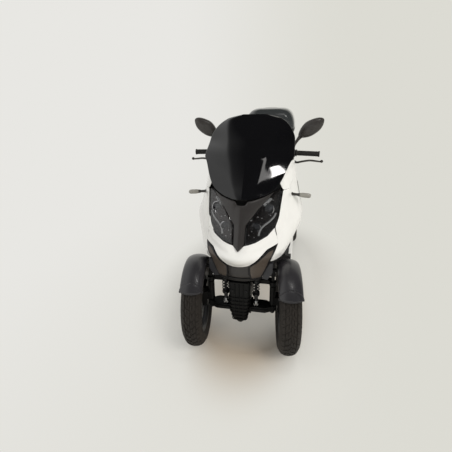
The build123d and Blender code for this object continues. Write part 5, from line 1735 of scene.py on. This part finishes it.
@dataclass
class Controls:
    """Grips, switch pods, levers, tanks and mirrors on the turned bar."""

    bend: tuple[float, float, float] = (212.0, 596.0, 1056.0)
    end: tuple[float, float, float] = (411.0, 577.0, 1053.0)
    grip_in: float = 262.0
    grip_radius: float = 16.6
    ribs: int = 26
    mirror: tuple[float, float, float] = (353.0, 640.0, 1210.0)
    leaf: tuple[Pair, ...] = ((-78, -62), (-8, -56), (56, -8), (73, 50), (34, 62), (-36, 36), (-74, -14))

    def bar_point(self, x: float) -> Points:
        """Gives a point on the bar's straight outer run."""
        a, b = np.array(self.bend), np.array(self.end)
        return a + (b - a) * (x - a[0]) / (b[0] - a[0])

    def build(self) -> None:
        """Builds everything on the bar."""
        softened("handlebar", BAR_COAT, 2.5, "steering")
        self.build_grips()
        self.build_levers()
        self.build_mirrors()

    def fit(self, name: str, shape: Shape, finish: Finish, replaces: Sequence[str] = (),
            sharp_deg: float = 40.0) -> None:
        """Makes a piece from its left half, turned with the parked bar."""
        make_piece(name, shape.mirrored().moved(DATUM.parked_bar), finish, "steering", replaces, sharp_deg)

    def build_grips(self) -> None:
        """Builds the ribbed grips, open at the bar's end."""
        start, axis = self.bar_point(self.grip_in), self.bar_point(411) - self.bar_point(self.grip_in)
        length = float(np.linalg.norm(axis))
        r, pitch = self.grip_radius, (length - 26) / self.ribs
        profile = [(0.3, 11.5), (0.3, 22.5), (4.5, 22.5), (7, r)]
        for k in range(self.ribs):
            at = 10 + k * pitch
            profile += [(at, r - 1.4), (at + pitch * 0.28, r - 0.2), (at + pitch * 0.72, r - 0.2)]
        profile += [(length - 12, r - 1.0), (length - 9, r + 1.6), (length - 2, r + 1.8), (length, r),
            (length, 11.5)]
        grips = Shape().turned(profile, start, axis, 40)
        self.fit("ribbed_grips", grips, GRIP_RUBBER, ["grips"], sharp_deg=50)

    def build_levers(self) -> None:
        """Builds the levers, their perches, switch pods and fluid tanks."""
        lever, pods = Shape(), Shape()
        line = curve_through([(238, 574, 1024), (254, 562, 1006), (272, 552, 1001), (300, 547, 1008),
            (348, 546, 1016), (392, 550, 1012), (424, 553, 1008)], 40)
        radius = np.interp(np.linspace(0, 1, 40), [0, 0.12, 0.3, 0.8, 1], [9.5, 10.0, 8.2, 7.2, 6.2])
        lever.tube(line, radius, 14, flat=0.8)
        ball = [(-9.6 * math.cos(t), 9.6 * math.sin(t) + 0.01) for t in np.linspace(0, math.pi, 12)]
        lever.turned(ball, (425, 553, 1011), (1, 0, 0), 22, closed=False)
        self.fit("hooked_levers", lever, LEVER_ALLOY, ["brake_levers"])
        a, axis = self.bar_point(229.5), self.bar_point(261.5) - self.bar_point(229.5)
        long = float(np.linalg.norm(axis))
        pods.turned([(0, 11.6), (0, 17), (2.5, 20), (long / 2 - 1, 20.6), (long / 2, 19.6),
            (long / 2 + 1, 20.6), (long - 2.5, 20), (long, 17), (long, 11.6)], a, axis, 36)
        hinge = curve_through([(246, 590, 1050), (244, 578, 1038), (238, 572, 1024)], 12)
        pods.tube(hinge, np.linspace(15, 10, 12), 16)
        for x, y, z, w in ((240, 580, 1068, 5.0), (252, 582, 1067, 4.2), (246, 607, 1062, 6.0)):
            pods.box((x - w, y - w, z - 3), (x + w, y + w, z + 6))
        self.fit("switch_pods", pods, BLACK_MOULDING, sharp_deg=35)
        tank = Shape()
        for z0, z1, grow in ((1072, 1090, 0.0), (1090.4, 1095, 1.6)):
            rows = [rounded_ring(24 + grow - e, -17 - grow + e, 17 + grow - e, 8, 5, z) for e,
                z in ((5, z0), (0, z0 + 2.5), (0, z1 - 1.5), (1.5, z1), (16, z1 + 0.2))]
            tank.loft(np.array(rows) + np.array([216, 590, 0]))
        stem = curve_through([(222, 592, 1060), (220, 591, 1068), (218, 590, 1075)], 6)
        tank.tube(stem, 10, 14)
        self.fit("fluid_tanks", tank, BLACK_MOULDING)

    def build_mirrors(self) -> None:
        """Builds the leaf-shaped mirrors, their stalks and their glasses."""
        x, y, z = self.mirror
        leaf = curve_through(self.leaf, 64, closed=True)
        rows = [(0.89, 10.5), (0.90, 14), (0.95, 15), (0.985, 13), (1.0, 7), (0.99, 1)]
        rows += [(0.985 * math.cos(t) ** 0.8, -1 - 27 * math.sin(t)) for t in np.linspace(0.15, 1.49, 13)]
        shell = np.array([[(x + a * s, y + back - (4 * (a + b) / 140 if back < 0 else 0), z + b * s) for a,
            b in leaf] for s, back in rows])
        housing = Shape().loft(shell)
        root = np.array([x + self.leaf[0][0] * 0.80, y, z + self.leaf[0][1] * 0.80])
        foot = self.bar_point(self.grip_in - 16)
        path = curve_through([foot + np.array([0, 0, 14]), foot + np.array([0, 0, 34]),
            foot + np.array([4, 0, 54]), root - np.array([16, 2, 18]), root + np.array([6, -3, 5])], 34)
        radius = np.interp(np.linspace(0, 1, 34), [0, 0.1, 0.16, 0.6, 0.85, 1.0],
            [10, 10, 7.2, 9.0, 13.5, 17.0])
        housing.tube(path, radius, 16)
        self.fit("leaf_mirrors", housing, MIRROR_SHELL, ["mirrors"], sharp_deg=48)
        face = np.array([[(x + a * s, y + 12.5 + 1.2 * s * s, z + b * s) for a, b in leaf]
            for s in (0.885, 0.87, 0.6, 0.3, 0.01)])
        glass = Shape().loft(face)
        self.fit("mirror_faces", glass, MIRROR_GLASS, ["mirror_glasses"])


def rounded_ring(half: float, front: float, rear: float, radius: float, steps: int, z: float) -> Points:
    """Gives a level rounded rectangle, symmetric about the middle.

    Args:
        half: Half its width.
        front: Its front.
        rear: Its rear.
        radius: Corner radius.
        steps: Points on each corner.
        z: Its height.

    Returns:
        Points round it, the same number whatever its size.
    """
    radius = min(radius, half * 0.98, (rear - front) * 0.49)
    out = []
    for cx, cy, start in ((half - radius, rear - radius, 0), (radius - half, rear - radius, 90),
            (radius - half, front + radius, 180), (half - radius, front + radius, 270)):
        for t in np.radians(np.linspace(start, start + 90, steps)):
            out.append((cx + radius * math.cos(t), cy + radius * math.sin(t), z))
    return np.array(out)


# ---- Top case ----

@dataclass
class TopCase:
    """Domed top case with a seam band, latch, reflector and hinges."""

    front: float = 1500.0
    rear: float = 1892.0
    half: float = 226.0
    low_z: float = 962.0
    split_z: float = 1112.0
    top_z: float = 1303.0
    wall: float = 4.0

    def ring(self, inset: float, side: float, radius: float, z: float) -> Points:
        """Gives one level of the case's outline."""
        return rounded_ring(self.half - side, self.front + inset, self.rear - inset, radius, 12, z)

    def build(self) -> None:
        """Builds the base, the lid and what they carry."""
        low, split, top = self.low_z, self.split_z, self.top_z
        knots = [0, 0.12, 0.5, 0.94, 1.0]
        base_rows = []
        for t in np.linspace(0, 1, 18):
            base_rows.append(self.ring(eased(knots, [52, 34, 8, 1, 0.5], t),
                eased(knots, [66, 44, 10, 2, 1], t), 66, low + (split - 3 - low) * t))
        floor = [rounded_ring(60, self.front + 150, self.rear - 150, 40, 12, low),
            rounded_ring(130, self.front + 70, self.rear - 70, 50, 12, low)]
        self.build_shell("case_tray", floor + base_rows, 0, "chassis", "case_base", 1050)
        lid_rows = []
        turn = np.linspace(0, math.pi / 2, 26)
        for t in turn:
            rise, reach = math.sin(t) ** 0.86, 1 - math.cos(t) ** 0.7
            lid_rows.append(self.ring(reach * 120, reach * 140, 70 - 10 * reach,
                split + 3 + (top - 7 - split - 3) * rise))
        lid_rows += [rounded_ring(w, 1696 - w * 0.86, 1696 + w * 0.86, w * 0.62, 12, top - drop) for w,
            drop in ((62, 4.2), (40, 2.0), (22, 1.0))]
        self.build_shell("case_dome", lid_rows, -1, "case_lid", "case_lid", 1160)
        self.build_trim()

    def build_shell(self, name: str, rows: list[Points], end: int, body: str, node: str,
            middle: float) -> None:
        """Builds one half of the case, closed at its first or last ring."""
        cap = list(range(len(rows[0])))
        shape = Shape().grid(rows, wrap_v=True).add(rows[end], [cap if end else cap[::-1]])
        make_piece(name, shape, CASE_GLOSS, body, [node], wall=self.wall, away=(0, 1696, middle))

    def build_trim(self) -> None:
        """Builds the seam bands, hinges, latch and reflector."""
        split = self.split_z
        for name, body, ups in (("case_seam_band", "chassis", (-14, -12, -4.2, -3.2)),
                ("lid_seam_band", "case_lid", (3.2, 4.4, 10, 12))):
            rows = [self.ring(2.5 - out, 2.5 - out, 70, split + up) for out, up in zip((0, 3, 3, 0), ups)]
            rows += [self.ring(6, 6, 66, split + up) for up in (ups[-1], ups[0])]
            make_piece(name, Shape().grid(rows, wrap_u=True, wrap_v=True), BLACK_MOULDING, body)
        hinge, knuckle = Shape(), Shape()
        y, z = self.front - 9, split
        for side in (-1, 1):
            x = side * 100
            hinge.turned([(-34, 0.1), (-34, 3), (34, 3), (34, 0.1)], (x, y, z), (1, 0, 0), 14)
            for end in (x - 34, x + 21):
                hinge.box((end, y - 6, z - 24), (end + 13, self.front + 4, z + 2))
            knuckle.turned([(-20, 3.2), (-20, 7), (20, 7), (20, 3.2)], (x, y, z), (1, 0, 0), 20)
            knuckle.box((x - 20, y + 3, z + 3.2), (x + 20, self.front + 6, z + 7))
        make_piece("case_hinge_pins", hinge, RACK_COAT)
        make_piece("case_hinge_leaves", knuckle, RACK_COAT, "case_lid")
        spot = np.array([0, split - 24])
        outline = rounded([(-42, -20), (42, -20), (36, 24), (-36, 24)], 9, 5) + spot
        latch = Shape().stack(outline, [(s, self.rear + d) for s,
            d in ((1.0, -4), (1.0, 5), (0.93, 8), (0.4, 8.5))], 1, spot)
        latch.turned([(0, 0.1), (0, 9), (3, 9), (4, 7), (3.4, 0.1)], (0, self.rear + 8, self.split_z - 22),
            (0, 1, 0), 26)
        make_piece("case_latch", latch, BLACK_MOULDING)
        self.build_reflector()

    def build_reflector(self) -> None:
        """Builds the red reflector across the lid's rear."""
        rows = []
        for z in np.linspace(self.split_z + 16, self.split_z + 40, 6):
            edge = 1.0 if self.split_z + 16 < z < self.split_z + 40 else 0.0
            turn = np.radians(np.linspace(38, 142, 40))
            rise = (z - self.split_z - 3) / (self.top_z - 7 - self.split_z - 3)
            reach = 1 - math.cos(math.asin(rise ** (1 / 0.86))) ** 0.7
            y_rear = self.rear - reach * 120 + 1.0 + 1.6 * edge
            rows.append([(158 * math.cos(t) / math.cos(math.radians(38)), y_rear, z) for t in turn])
        plate = np.array(rows)
        make_piece("case_reflector", Shape().grid(plate), RED_LENS, "case_lid", wall=3.0,
            away=(0, 1696, 1160))


# ---- Seat ----

@dataclass
class Seat:
    """Stepped two-person seat with a stuffed cushion, seams and piping."""

    voxel: float = 5.0
    cap: float = 7.0
    frames: int = 14
    held_above: float = 5.0
    seams: tuple[float, ...] = (1118.0, 1252.0)
    seam_dip: float = 3.5
    seam_width: float = 5.0
    seam_above: float = 22.0
    pressure: float = 4.0
    rows: tuple[tuple[float, ...], ...] = ((854, 92, 764, 782), (1000, 138, 772, 806), (1150, 154, 780, 812),
        (1205, 158, 798, 884), (1330, 156, 836, 918), (1486, 142, 880, 930))

    def outline(self, y: float) -> Points:
        """Gives the cushion's cross section, as many points at any place along it."""
        half, split, top = (float(v) for v in read_table(self.rows, y))
        half, split, top = half - 4, split + 1.2, top - 3
        points = [(-half + 8, split), (-half * 0.5, split), (0, split), (half * 0.5, split),
            (half - 8, split), (half, split + 14), (half - 5, (split + top) / 2 + 4), (half - 20, top - 6),
            (half * 0.5, top), (0, top - 3), (-half * 0.5, top), (-half + 20, top - 6),
            (-half + 5, (split + top) / 2 + 4), (-half, split + 14)]
        return np.array([(x, y, z) for x, z in points])

    def build(self) -> None:
        """Builds the pan, the cushion and its piping."""
        softened("seat_pan", BLACK_MOULDING, 2.0, "seat")
        places = [*np.linspace(857, 1140, 16), *np.linspace(1150, 1210, 8), *np.linspace(1226, 1482, 14)]
        body = np.array([self.outline(y) for y in places])
        form = Shape().loft(body)
        mesh = mesh_of("cushion_form", DATUM.place(np.vstack(form.verts)), form, SEAT_VINYL.build())
        welded(mesh)
        made = linked("stuffed_cushion", mesh)
        self.inflate(made)
        smooth = made.modifiers.new("smooth", "SUBSURF")
        smooth.levels = smooth.render_levels = 1
        settle(made, "seat_vinyl", "seat", ["seat_cushion"], 180)
        self.build_piping()

    def inflate(self, made: Thing) -> None:
        """Remeshes the cushion and blows it up a little, held at its underside."""
        mesh = self.remeshed(made)
        start = places_of(mesh)
        made.data = mesh
        held = made.vertex_groups.new(name="held")
        base = read_table(self.rows, start[:, 1] / MM - DATUM.axle_y, (2,))[0]
        low = [i for i, p in enumerate(start) if p[2] / MM < base[i] + self.held_above]
        held.add([int(i) for i in low], 1.0, "REPLACE")
        cloth = made.modifiers.new("stuffing", "CLOTH")
        cloth.settings.use_pressure = True
        cloth.settings.uniform_pressure_force = self.pressure
        cloth.settings.vertex_group_mass = "held"
        cloth.settings.effector_weights.gravity = 0.0
        cloth.settings.quality = 5
        scene = bpy.context.scene
        for frame in range(1, self.frames + 1):
            scene.frame_set(frame)
        puffed = applied(made)
        made.modifiers.clear()
        scene.frame_set(1)
        step = places_of(puffed) - start
        far = np.linalg.norm(step, axis=1, keepdims=True)
        step *= np.minimum(1, self.cap * MM / np.maximum(far, 1e-9))
        place = start + step
        for y in self.seams:
            seam = np.exp(-(((place[:, 1] / MM - DATUM.axle_y) - y) / self.seam_width) ** 2)
            place[:, 2] -= seam * self.seam_dip * MM * (place[:, 2] / MM > base + self.seam_above)
        mesh.vertices.foreach_set("co", place.astype(np.float32).ravel())
        mesh.update()

    def remeshed(self, made: Thing) -> Mesh:
        """Gives the cushion's mesh in even voxels."""
        voxels = made.modifiers.new("voxels", "REMESH")
        voxels.mode = "VOXEL"
        voxels.voxel_size = self.voxel * MM
        mesh = applied(made)
        made.modifiers.clear()
        return mesh

    def build_piping(self) -> None:
        """Builds the welt along each upper edge."""
        line = []
        for y in np.linspace(866, 1474, 60):
            p = self.outline(y)[7]
            line.append((p[0] + 7, y, p[2] + 3))
        welt = Shape().tube(line, 2.6, 8).mirrored()
        make_piece("seat_welts", welt, SEAT_PIPING, "seat")


# ---- Tail ----

@dataclass
class TailBody:
    """Tail sides with a waist crease, a dark sill and the rear closing panel."""

    rows: tuple[tuple[float, ...], ...] = ((838, 150, 450, 738), (1000, 214, 430, 748), (1250, 236, 500, 792),
        (1500, 216, 600, 846), (1750, 150, 680, 872), (1880, 92, 740, 862))
    split_y: float = 1700.0
    wall: float = 3.0

    def section(self, y: float) -> Points:
        """Gives the left side's cross section from its lower edge up."""
        half, low, top = (float(v) for v in read_table(self.rows, y))
        mid = (low + top) / 2
        corners = np.array([(half * 0.78, low), (half * 0.93, low + (mid - low) * 0.62), (half, mid - 4),
            (half - 1.5, mid + 12), (half * 0.975, top - 40), (half * 0.94, top - 14), (half * 0.86, top)])
        flat = curve_through(np.hstack([corners, np.zeros((len(corners), 1))]), 26)[:, :2]
        return np.array([(x, y, z) for x, z in flat])

    def build(self) -> None:
        """Builds the sides, the rear panel and the sill."""
        places = np.linspace(self.rows[0][0] + 1, self.split_y - 1.2, 60)
        side = Shape().grid([self.section(y) for y in places]).mirrored()
        make_piece("tail_side_panels", side, WHITE_LACQUER, replaces=["tail_sides"], wall=self.wall,
            away=(0, 1270, 650))
        places = np.linspace(self.split_y + 1.2, self.rows[-1][0], 24)
        rings = []
        for y in places:
            left = self.section(y)
            roof = [(left[-1][0] * c, y, left[-1][2] + 5 * (1 - c * c)) for c in (0.8, 0.4, 0, -0.4, -0.8)]
            rings.append(np.vstack([left, roof, (left * np.array([-1, 1, 1]))[::-1]]))
        back = Shape().loft(rings)
        make_piece("tail_rear_panel", back, WHITE_LACQUER, replaces=["tail_centre"], sharp_deg=50)
        sill = []
        for y in np.linspace(self.rows[0][0] + 4, self.split_y - 4, 50):
            p = self.section(y)[0]
            sill.append((p[0] - 1, y, p[2] + 1))
        make_piece("tail_sills", Shape().tube(sill, 6.5, 10).mirrored(), BLACK_MOULDING)


# ---- Cockpit and floor ----

@dataclass
class Cockpit:
    """Dials, glove box lids, lock and bag hook."""

    face_at: tuple[float, float, float] = (0.0, 362.0, 1000.0)
    face_up: tuple[float, float, float] = (0.0, 0.78, 0.63)
    dials: tuple[tuple[float, float], ...] = ((-72.0, 44.0), (72.0, 44.0), (0.0, 26.0))

    def build(self) -> None:
        """Builds the cockpit's shells and details."""
        softened("dashboard", BLACK_MOULDING, 3.0)
        softened("leg_shield", BLACK_MOULDING, 5.0)
        # The aprons take the lighter copy of the black moulding: painted light.
        softened("inner_liners", FRONT_LIT_MOULDING, 1.0)
        self.build_dials()
        self.build_glove_box()

    def build_dials(self) -> None:
        """Builds bezels, faces and marks."""
        up = np.array(self.face_up)
        down = np.cross(up, (1.0, 0, 0))
        rings, faces, marks = Shape(), Shape(), Shape()
        for x, radius in self.dials:
            centre = np.array(self.face_at) + np.array([x, 0, 0]) + up * 7
            rings.turned([(0, radius - 5), (4, radius - 4), (5, radius - 2), (4, radius), (-2, radius)],
                centre, up, 48)
            faces.turned([(0.5, 0.1), (0.5, radius - 4), (-1, radius - 4), (-1, 0.1)], centre, up, 48)
            for k in range(11 if radius > 30 else 0):
                a = math.radians(-130 + 26 * k)
                way = np.array([1.0, 0, 0]) * math.sin(a) - down * math.cos(a)
                side = np.cross(up, way)
                inner, outer = centre + way * (radius - 13) + up * 0.9, centre + way * (radius - 7) + up * 0.9
                w = side * 0.8
                marks.add([inner - w, inner + w, outer + w, outer - w], [[0, 1, 2, 3]])
        make_piece("dial_bezels", rings, CHROME_RING)
        make_piece("dial_faces", faces, DIAL_FACE)
        make_piece("dial_marks", marks, GUIDE_AND_GLINT_WHITE, mend=False)

    def build_glove_box(self) -> None:
        """Builds the glove box lids, the lock and the bag hook."""
        lid, lock = Shape(), Shape()
        for x0, x1 in ((110, 232), (-232, -110)):
            outline = rounded([(x0, 690), (x1, 690), (x1 - 6, 836), (x0 + 4, 836)], 16, 5)
            lid.stack(outline, ((1.0, 468), (1.0, 472.5), (0.97, 475), (0.6, 476), (0.02, 476)), 1)
        make_piece("glove_box_lids", lid, FRONT_LIT_MOULDING)
        lock.turned([(0, 0.1), (0, 15), (7, 15), (9, 12.5), (7.5, 8), (7.5, 0.1)], (64, 569, 800),
            (0, 1, 0.25), 30)
        lock.tube(curve_through([(0, 540, 742), (0, 560, 736), (0, 566, 722), (0, 556, 712)], 20), 4.5, 12)
        make_piece("lock_and_hook", lock, BRIGHT_STEEL)


@dataclass
class Platform:
    """Footboards, ribbed mats, tunnel cover, skirts and filler cap."""

    top_z: float = 333.3
    rib_pitch: float = 17.0

    def build(self) -> None:
        """Builds the floor's shells, mats and filler cap."""
        softened("footboards", BLACK_MOULDING, 6.0)
        softened("tunnel_cover", BLACK_MOULDING, 8.0)
        softened("side_skirts", WHITE_LACQUER, 6.0)
        mats = Shape()
        for side in (-1, 1):
            outline = rounded([(side * 116, 500), (side * 232, 500), (side * 232, 842), (side * 116, 842)],
                18, 5)
            mats.stack(outline, [(s, self.top_z + up) for s, up in ((1.0, -0.5), (0.995, 2.4), (0.97, 3.0),
                (0.5, 3.0), (0.02, 3.0))], 2)
        make_piece("floor_mats", mats, GRIP_RUBBER)
        rib = Shape()
        rows = [[(x, y, z) for x, z in ((-46, 0), (-44, 2.6), (44, 2.6), (46, 0))] for y in (-3.2, 3.2)]
        rib.loft(rows)
        marks = [((side * 174, y, self.top_z + 2.8), (0, 0, 1)) for side in (-1, 1)
            for y in np.arange(520, 830, self.rib_pitch)]
        repeat_on_marks("mat_ribs", rib, marks, GRIP_RUBBER, sharp_deg=30)
        cap = Shape().turned([(-2, 0.1), (-2, 34), (2, 34), (5, 31), (5, 24), (3, 22), (3, 0.1)],
            (0, 700, 503.5), (0, -0.09, 1), 44)
        make_piece("filler_cap", cap, FRONT_LIT_MOULDING)


# ---- Engine and rear wheels' carriers ----

class PowerUnit:
    """Engine with finned cylinder, covers and bolts, and the silencer."""

    def build(self) -> None:
        """Builds the castings, fins, covers and silencer."""
        core = Shape()
        rows = []
        for y, w, z0, z1 in ((1120, 84, 228, 392), (1140, 92, 214, 404), (1300, 94, 208, 410),
                (1420, 88, 222, 400), (1448, 70, 240, 380)):
            ring = rounded([(-w, z0), (w, z0), (w, z1), (-w, z1)], 34, 6)
            rows.append([(x, y, z) for x, z in ring])
        core.loft(rows)
        barrel = [[(x, y, z) for x, z in rounded([(-58, 262), (58, 262), (58, 392), (-58, 392)], 22, 5)]
            for y in (1000, 1126)]
        core.loft(barrel)
        top = [rounded_ring(70 - e, 1150 + e, 1400 - e, 30, 6, z) for e,
            z in ((0, 396), (0, 440), (8, 452), (30, 460))]
        core.loft(top)
        make_piece("engine_castings", core, ENGINE_CASTING, replaces=["engine"], sharp_deg=38)
        fins = Shape()
        for y in np.arange(1006, 1118, 11.0):
            ring = rounded([(-84, 240), (84, 240), (84, 416), (-84, 416)], 30, 5)
            hole = rounded([(-56, 264), (56, 264), (56, 390), (-56, 390)], 22, 5)
            rows = [[(x, y - 1.6, z) for x, z in hole], [(x, y - 1.6, z) for x, z in ring],
                [(x, y + 1.6, z) for x, z in ring], [(x, y + 1.6, z) for x, z in hole]]
            fins.grid(rows, wrap_u=True, wrap_v=True)
        make_piece("cooling_fins", fins, ENGINE_CASTING)
        self.build_covers()
        self.build_silencer()

    def build_covers(self) -> None:
        """Builds the long drive cover and the round alternator cover."""
        covers, marks = Shape(), []
        outline = rounded([(1060, 250), (1300, 226), (1446, 250), (1446, 352), (1320, 392), (1060, 386)], 46,
            7)
        middle = outline.mean(0)
        covers.stack(outline, ((1.0, 88), (1.0, 108), (0.97, 113), (0.86, 115), (0.82, 121), (0.4, 123),
            (0.02, 123)), 0)
        for y, z in outline[::5]:
            spot = middle + (np.array([y, z]) - middle) * 0.93
            marks.append(((114, float(spot[0]), float(spot[1])), (1, 0, 0)))
        covers.turned([(-10, 1), (-10, 98), (16, 98), (22, 92), (24, 74), (30, 70), (32, 30), (32, 0.1)],
            (-91, 1270, 308), (-1, 0, 0), 60)
        for k in range(7):
            a = 2 * math.pi * k / 7
            marks.append(((-114.5, 1270 + 86 * math.cos(a), 308 + 86 * math.sin(a)), (-1, 0, 0)))
        make_piece("engine_covers", covers, WHEEL_CASTING, sharp_deg=36)
        bolt_heads("engine_cover_bolts", marks, 6.0)

    def build_silencer(self) -> None:
        """Builds the can, its end caps, pipe, tail pipe and bands."""
        start, end = np.array([-64.0, 1500.0, 470.0]), np.array([-64.0, 1840.0, 560.0])
        axis, length = end - start, float(np.linalg.norm(end - start))
        can = Shape().turned([(0, 18), (3, 40), (12, 52), (24, 56), (length - 20, 56), (length - 8, 52),
            (length - 2, 44), (length, 26), (length - 6, 20), (length - 6, 0.1), (4, 0.1)], start, axis, 56)
        can.turned([(length - 8, 20), (length + 24, 20), (length + 27, 22), (length + 26, 24),
            (length - 8, 24)], start, axis, 36)
        pipe = curve_through([(-60, 1447, 360), (-60, 1476, 362), (-62, 1494, 384), (-64, 1500, 420),
            (-64, 1512, 458), (-64, 1534, 479)], 40)
        can.tube(pipe, 18.5, 22)
        make_piece("silencer_can", can, EXHAUST_STEEL, replaces=["exhaust"], sharp_deg=40)
        bands = Shape()
        for at in (62, length - 60):
            bands.turned([(at - 9, 55.5), (at - 9, 57.6), (at + 9, 57.6), (at + 9, 55.5)], start, axis, 56)
        make_piece("silencer_bands", bands, BRIGHT_STEEL)


@dataclass
class RearEnd:
    """Swing arms, sprung shock absorbers, lamp, plate board, rack and rear indicators."""

    arm_x: float = 147.0
    seat_rail_x: float = 178.0

    def build(self) -> None:
        """Builds the rear pieces."""
        softened("rear_arms", ARM_CASTING, 6.0)
        softened("rear_rack", RACK_COAT, 2.0)
        softened("main_frame", FRAME_COAT, 0.0)
        softened("storage_bucket", BLACK_MOULDING, 0.0)
        softened("plate_carrier", PLATE_MOULDING, 0.0)
        softened("tail_lamp", RED_LENS, 5.0)
        self.build_shocks()
        self.build_indicators()
        self.build_lamp()

    def build_shocks(self) -> None:
        """Builds both rear shock absorbers."""
        x = self.arm_x
        low, high = np.array([x, 1500.0, 350.0]), np.array([x, 1478.0, 600.0])
        axis = high - low
        long = float(np.linalg.norm(axis))
        body, rod = Shape(), Shape()
        body.turned([(0, 1), (0, 16), (6, 22), (18, 22), (20, 15), (long * 0.5, 15), (long * 0.5, 1)], low,
            axis, 28)
        body.turned([(long - 14, 1), (long - 14, 22), (long - 4, 23), (long, 18), (long, 1)], low, axis, 28)
        rod.turned([(long * 0.45, 1), (long * 0.45, 7), (long - 8, 7), (long - 8, 1)], low, axis, 20)
        top = curve_through([high, high + np.array([6, -2, 40]), (self.seat_rail_x - 8, 1474, 698)], 14)
        rod.tube(top, 10.5, 18)
        body.box((x - 10, 1486, 266), (x + 10, 1514, 362))
        make_piece("rear_shock_bodies", body.mirrored(), SHOCK_BODY, replaces=["rear_shocks"])
        make_piece("rear_shock_rods", rod.mirrored(), BRIGHT_STEEL)
        for side, word in SIDES:
            flip = np.array([side, 1, 1])
            wind_spring(f"rear_spring_{word}", (low + axis * 0.085) * flip, (low + axis * 0.94) * flip, 19.5,
                3.4, 8)

    def build_indicators(self) -> None:
        """Builds the rear indicators' stalks and lenses."""
        indicator_pods("rear_", ((72, 1858, 800), (164, 1876, 806)),
            ([0, 0.3, 0.42, 0.6, 0.85, 0.96, 1.0], [9, 8.5, 12, 14.5, 13.5, 9, 5]), 22, 10, 18)

    def build_lamp(self) -> None:
        """Builds the plate lamp's hood."""
        spot = np.array([0, 664])
        outline = rounded([(-34, -8), (34, -8), (30, 10), (-30, 10)], 5, 4) + spot
        hood = Shape().stack(outline, ((1.0, 1894), (1.0, 1904), (0.9, 1907), (0.2, 1907.2)), 1, spot)
        make_piece("plate_lamp_hood", hood, BLACK_MOULDING)


def main() -> None:
    """Builds every sub-assembly in order."""
    logging.basicConfig(level=logging.INFO, format="%(message)s")
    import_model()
    DATUM.read()
    body = FrontBody()
    body.build()
    Headlamps(body).build()
    Windscreen().build()
    Indicators().build()
    for side in (1, -1):
        for front in (True, False):
            Wheel(side, front).build()
            Mudguard(side, front).build()
    for part in (FrontSuspension(), Controls(), TopCase(), Seat(), TailBody(), Cockpit(), Platform(),
            PowerUnit(), RearEnd(), Stage()):
        part.build()
        log.info("%s is built", type(part).__name__)


if __name__ == "__main__":
    main()
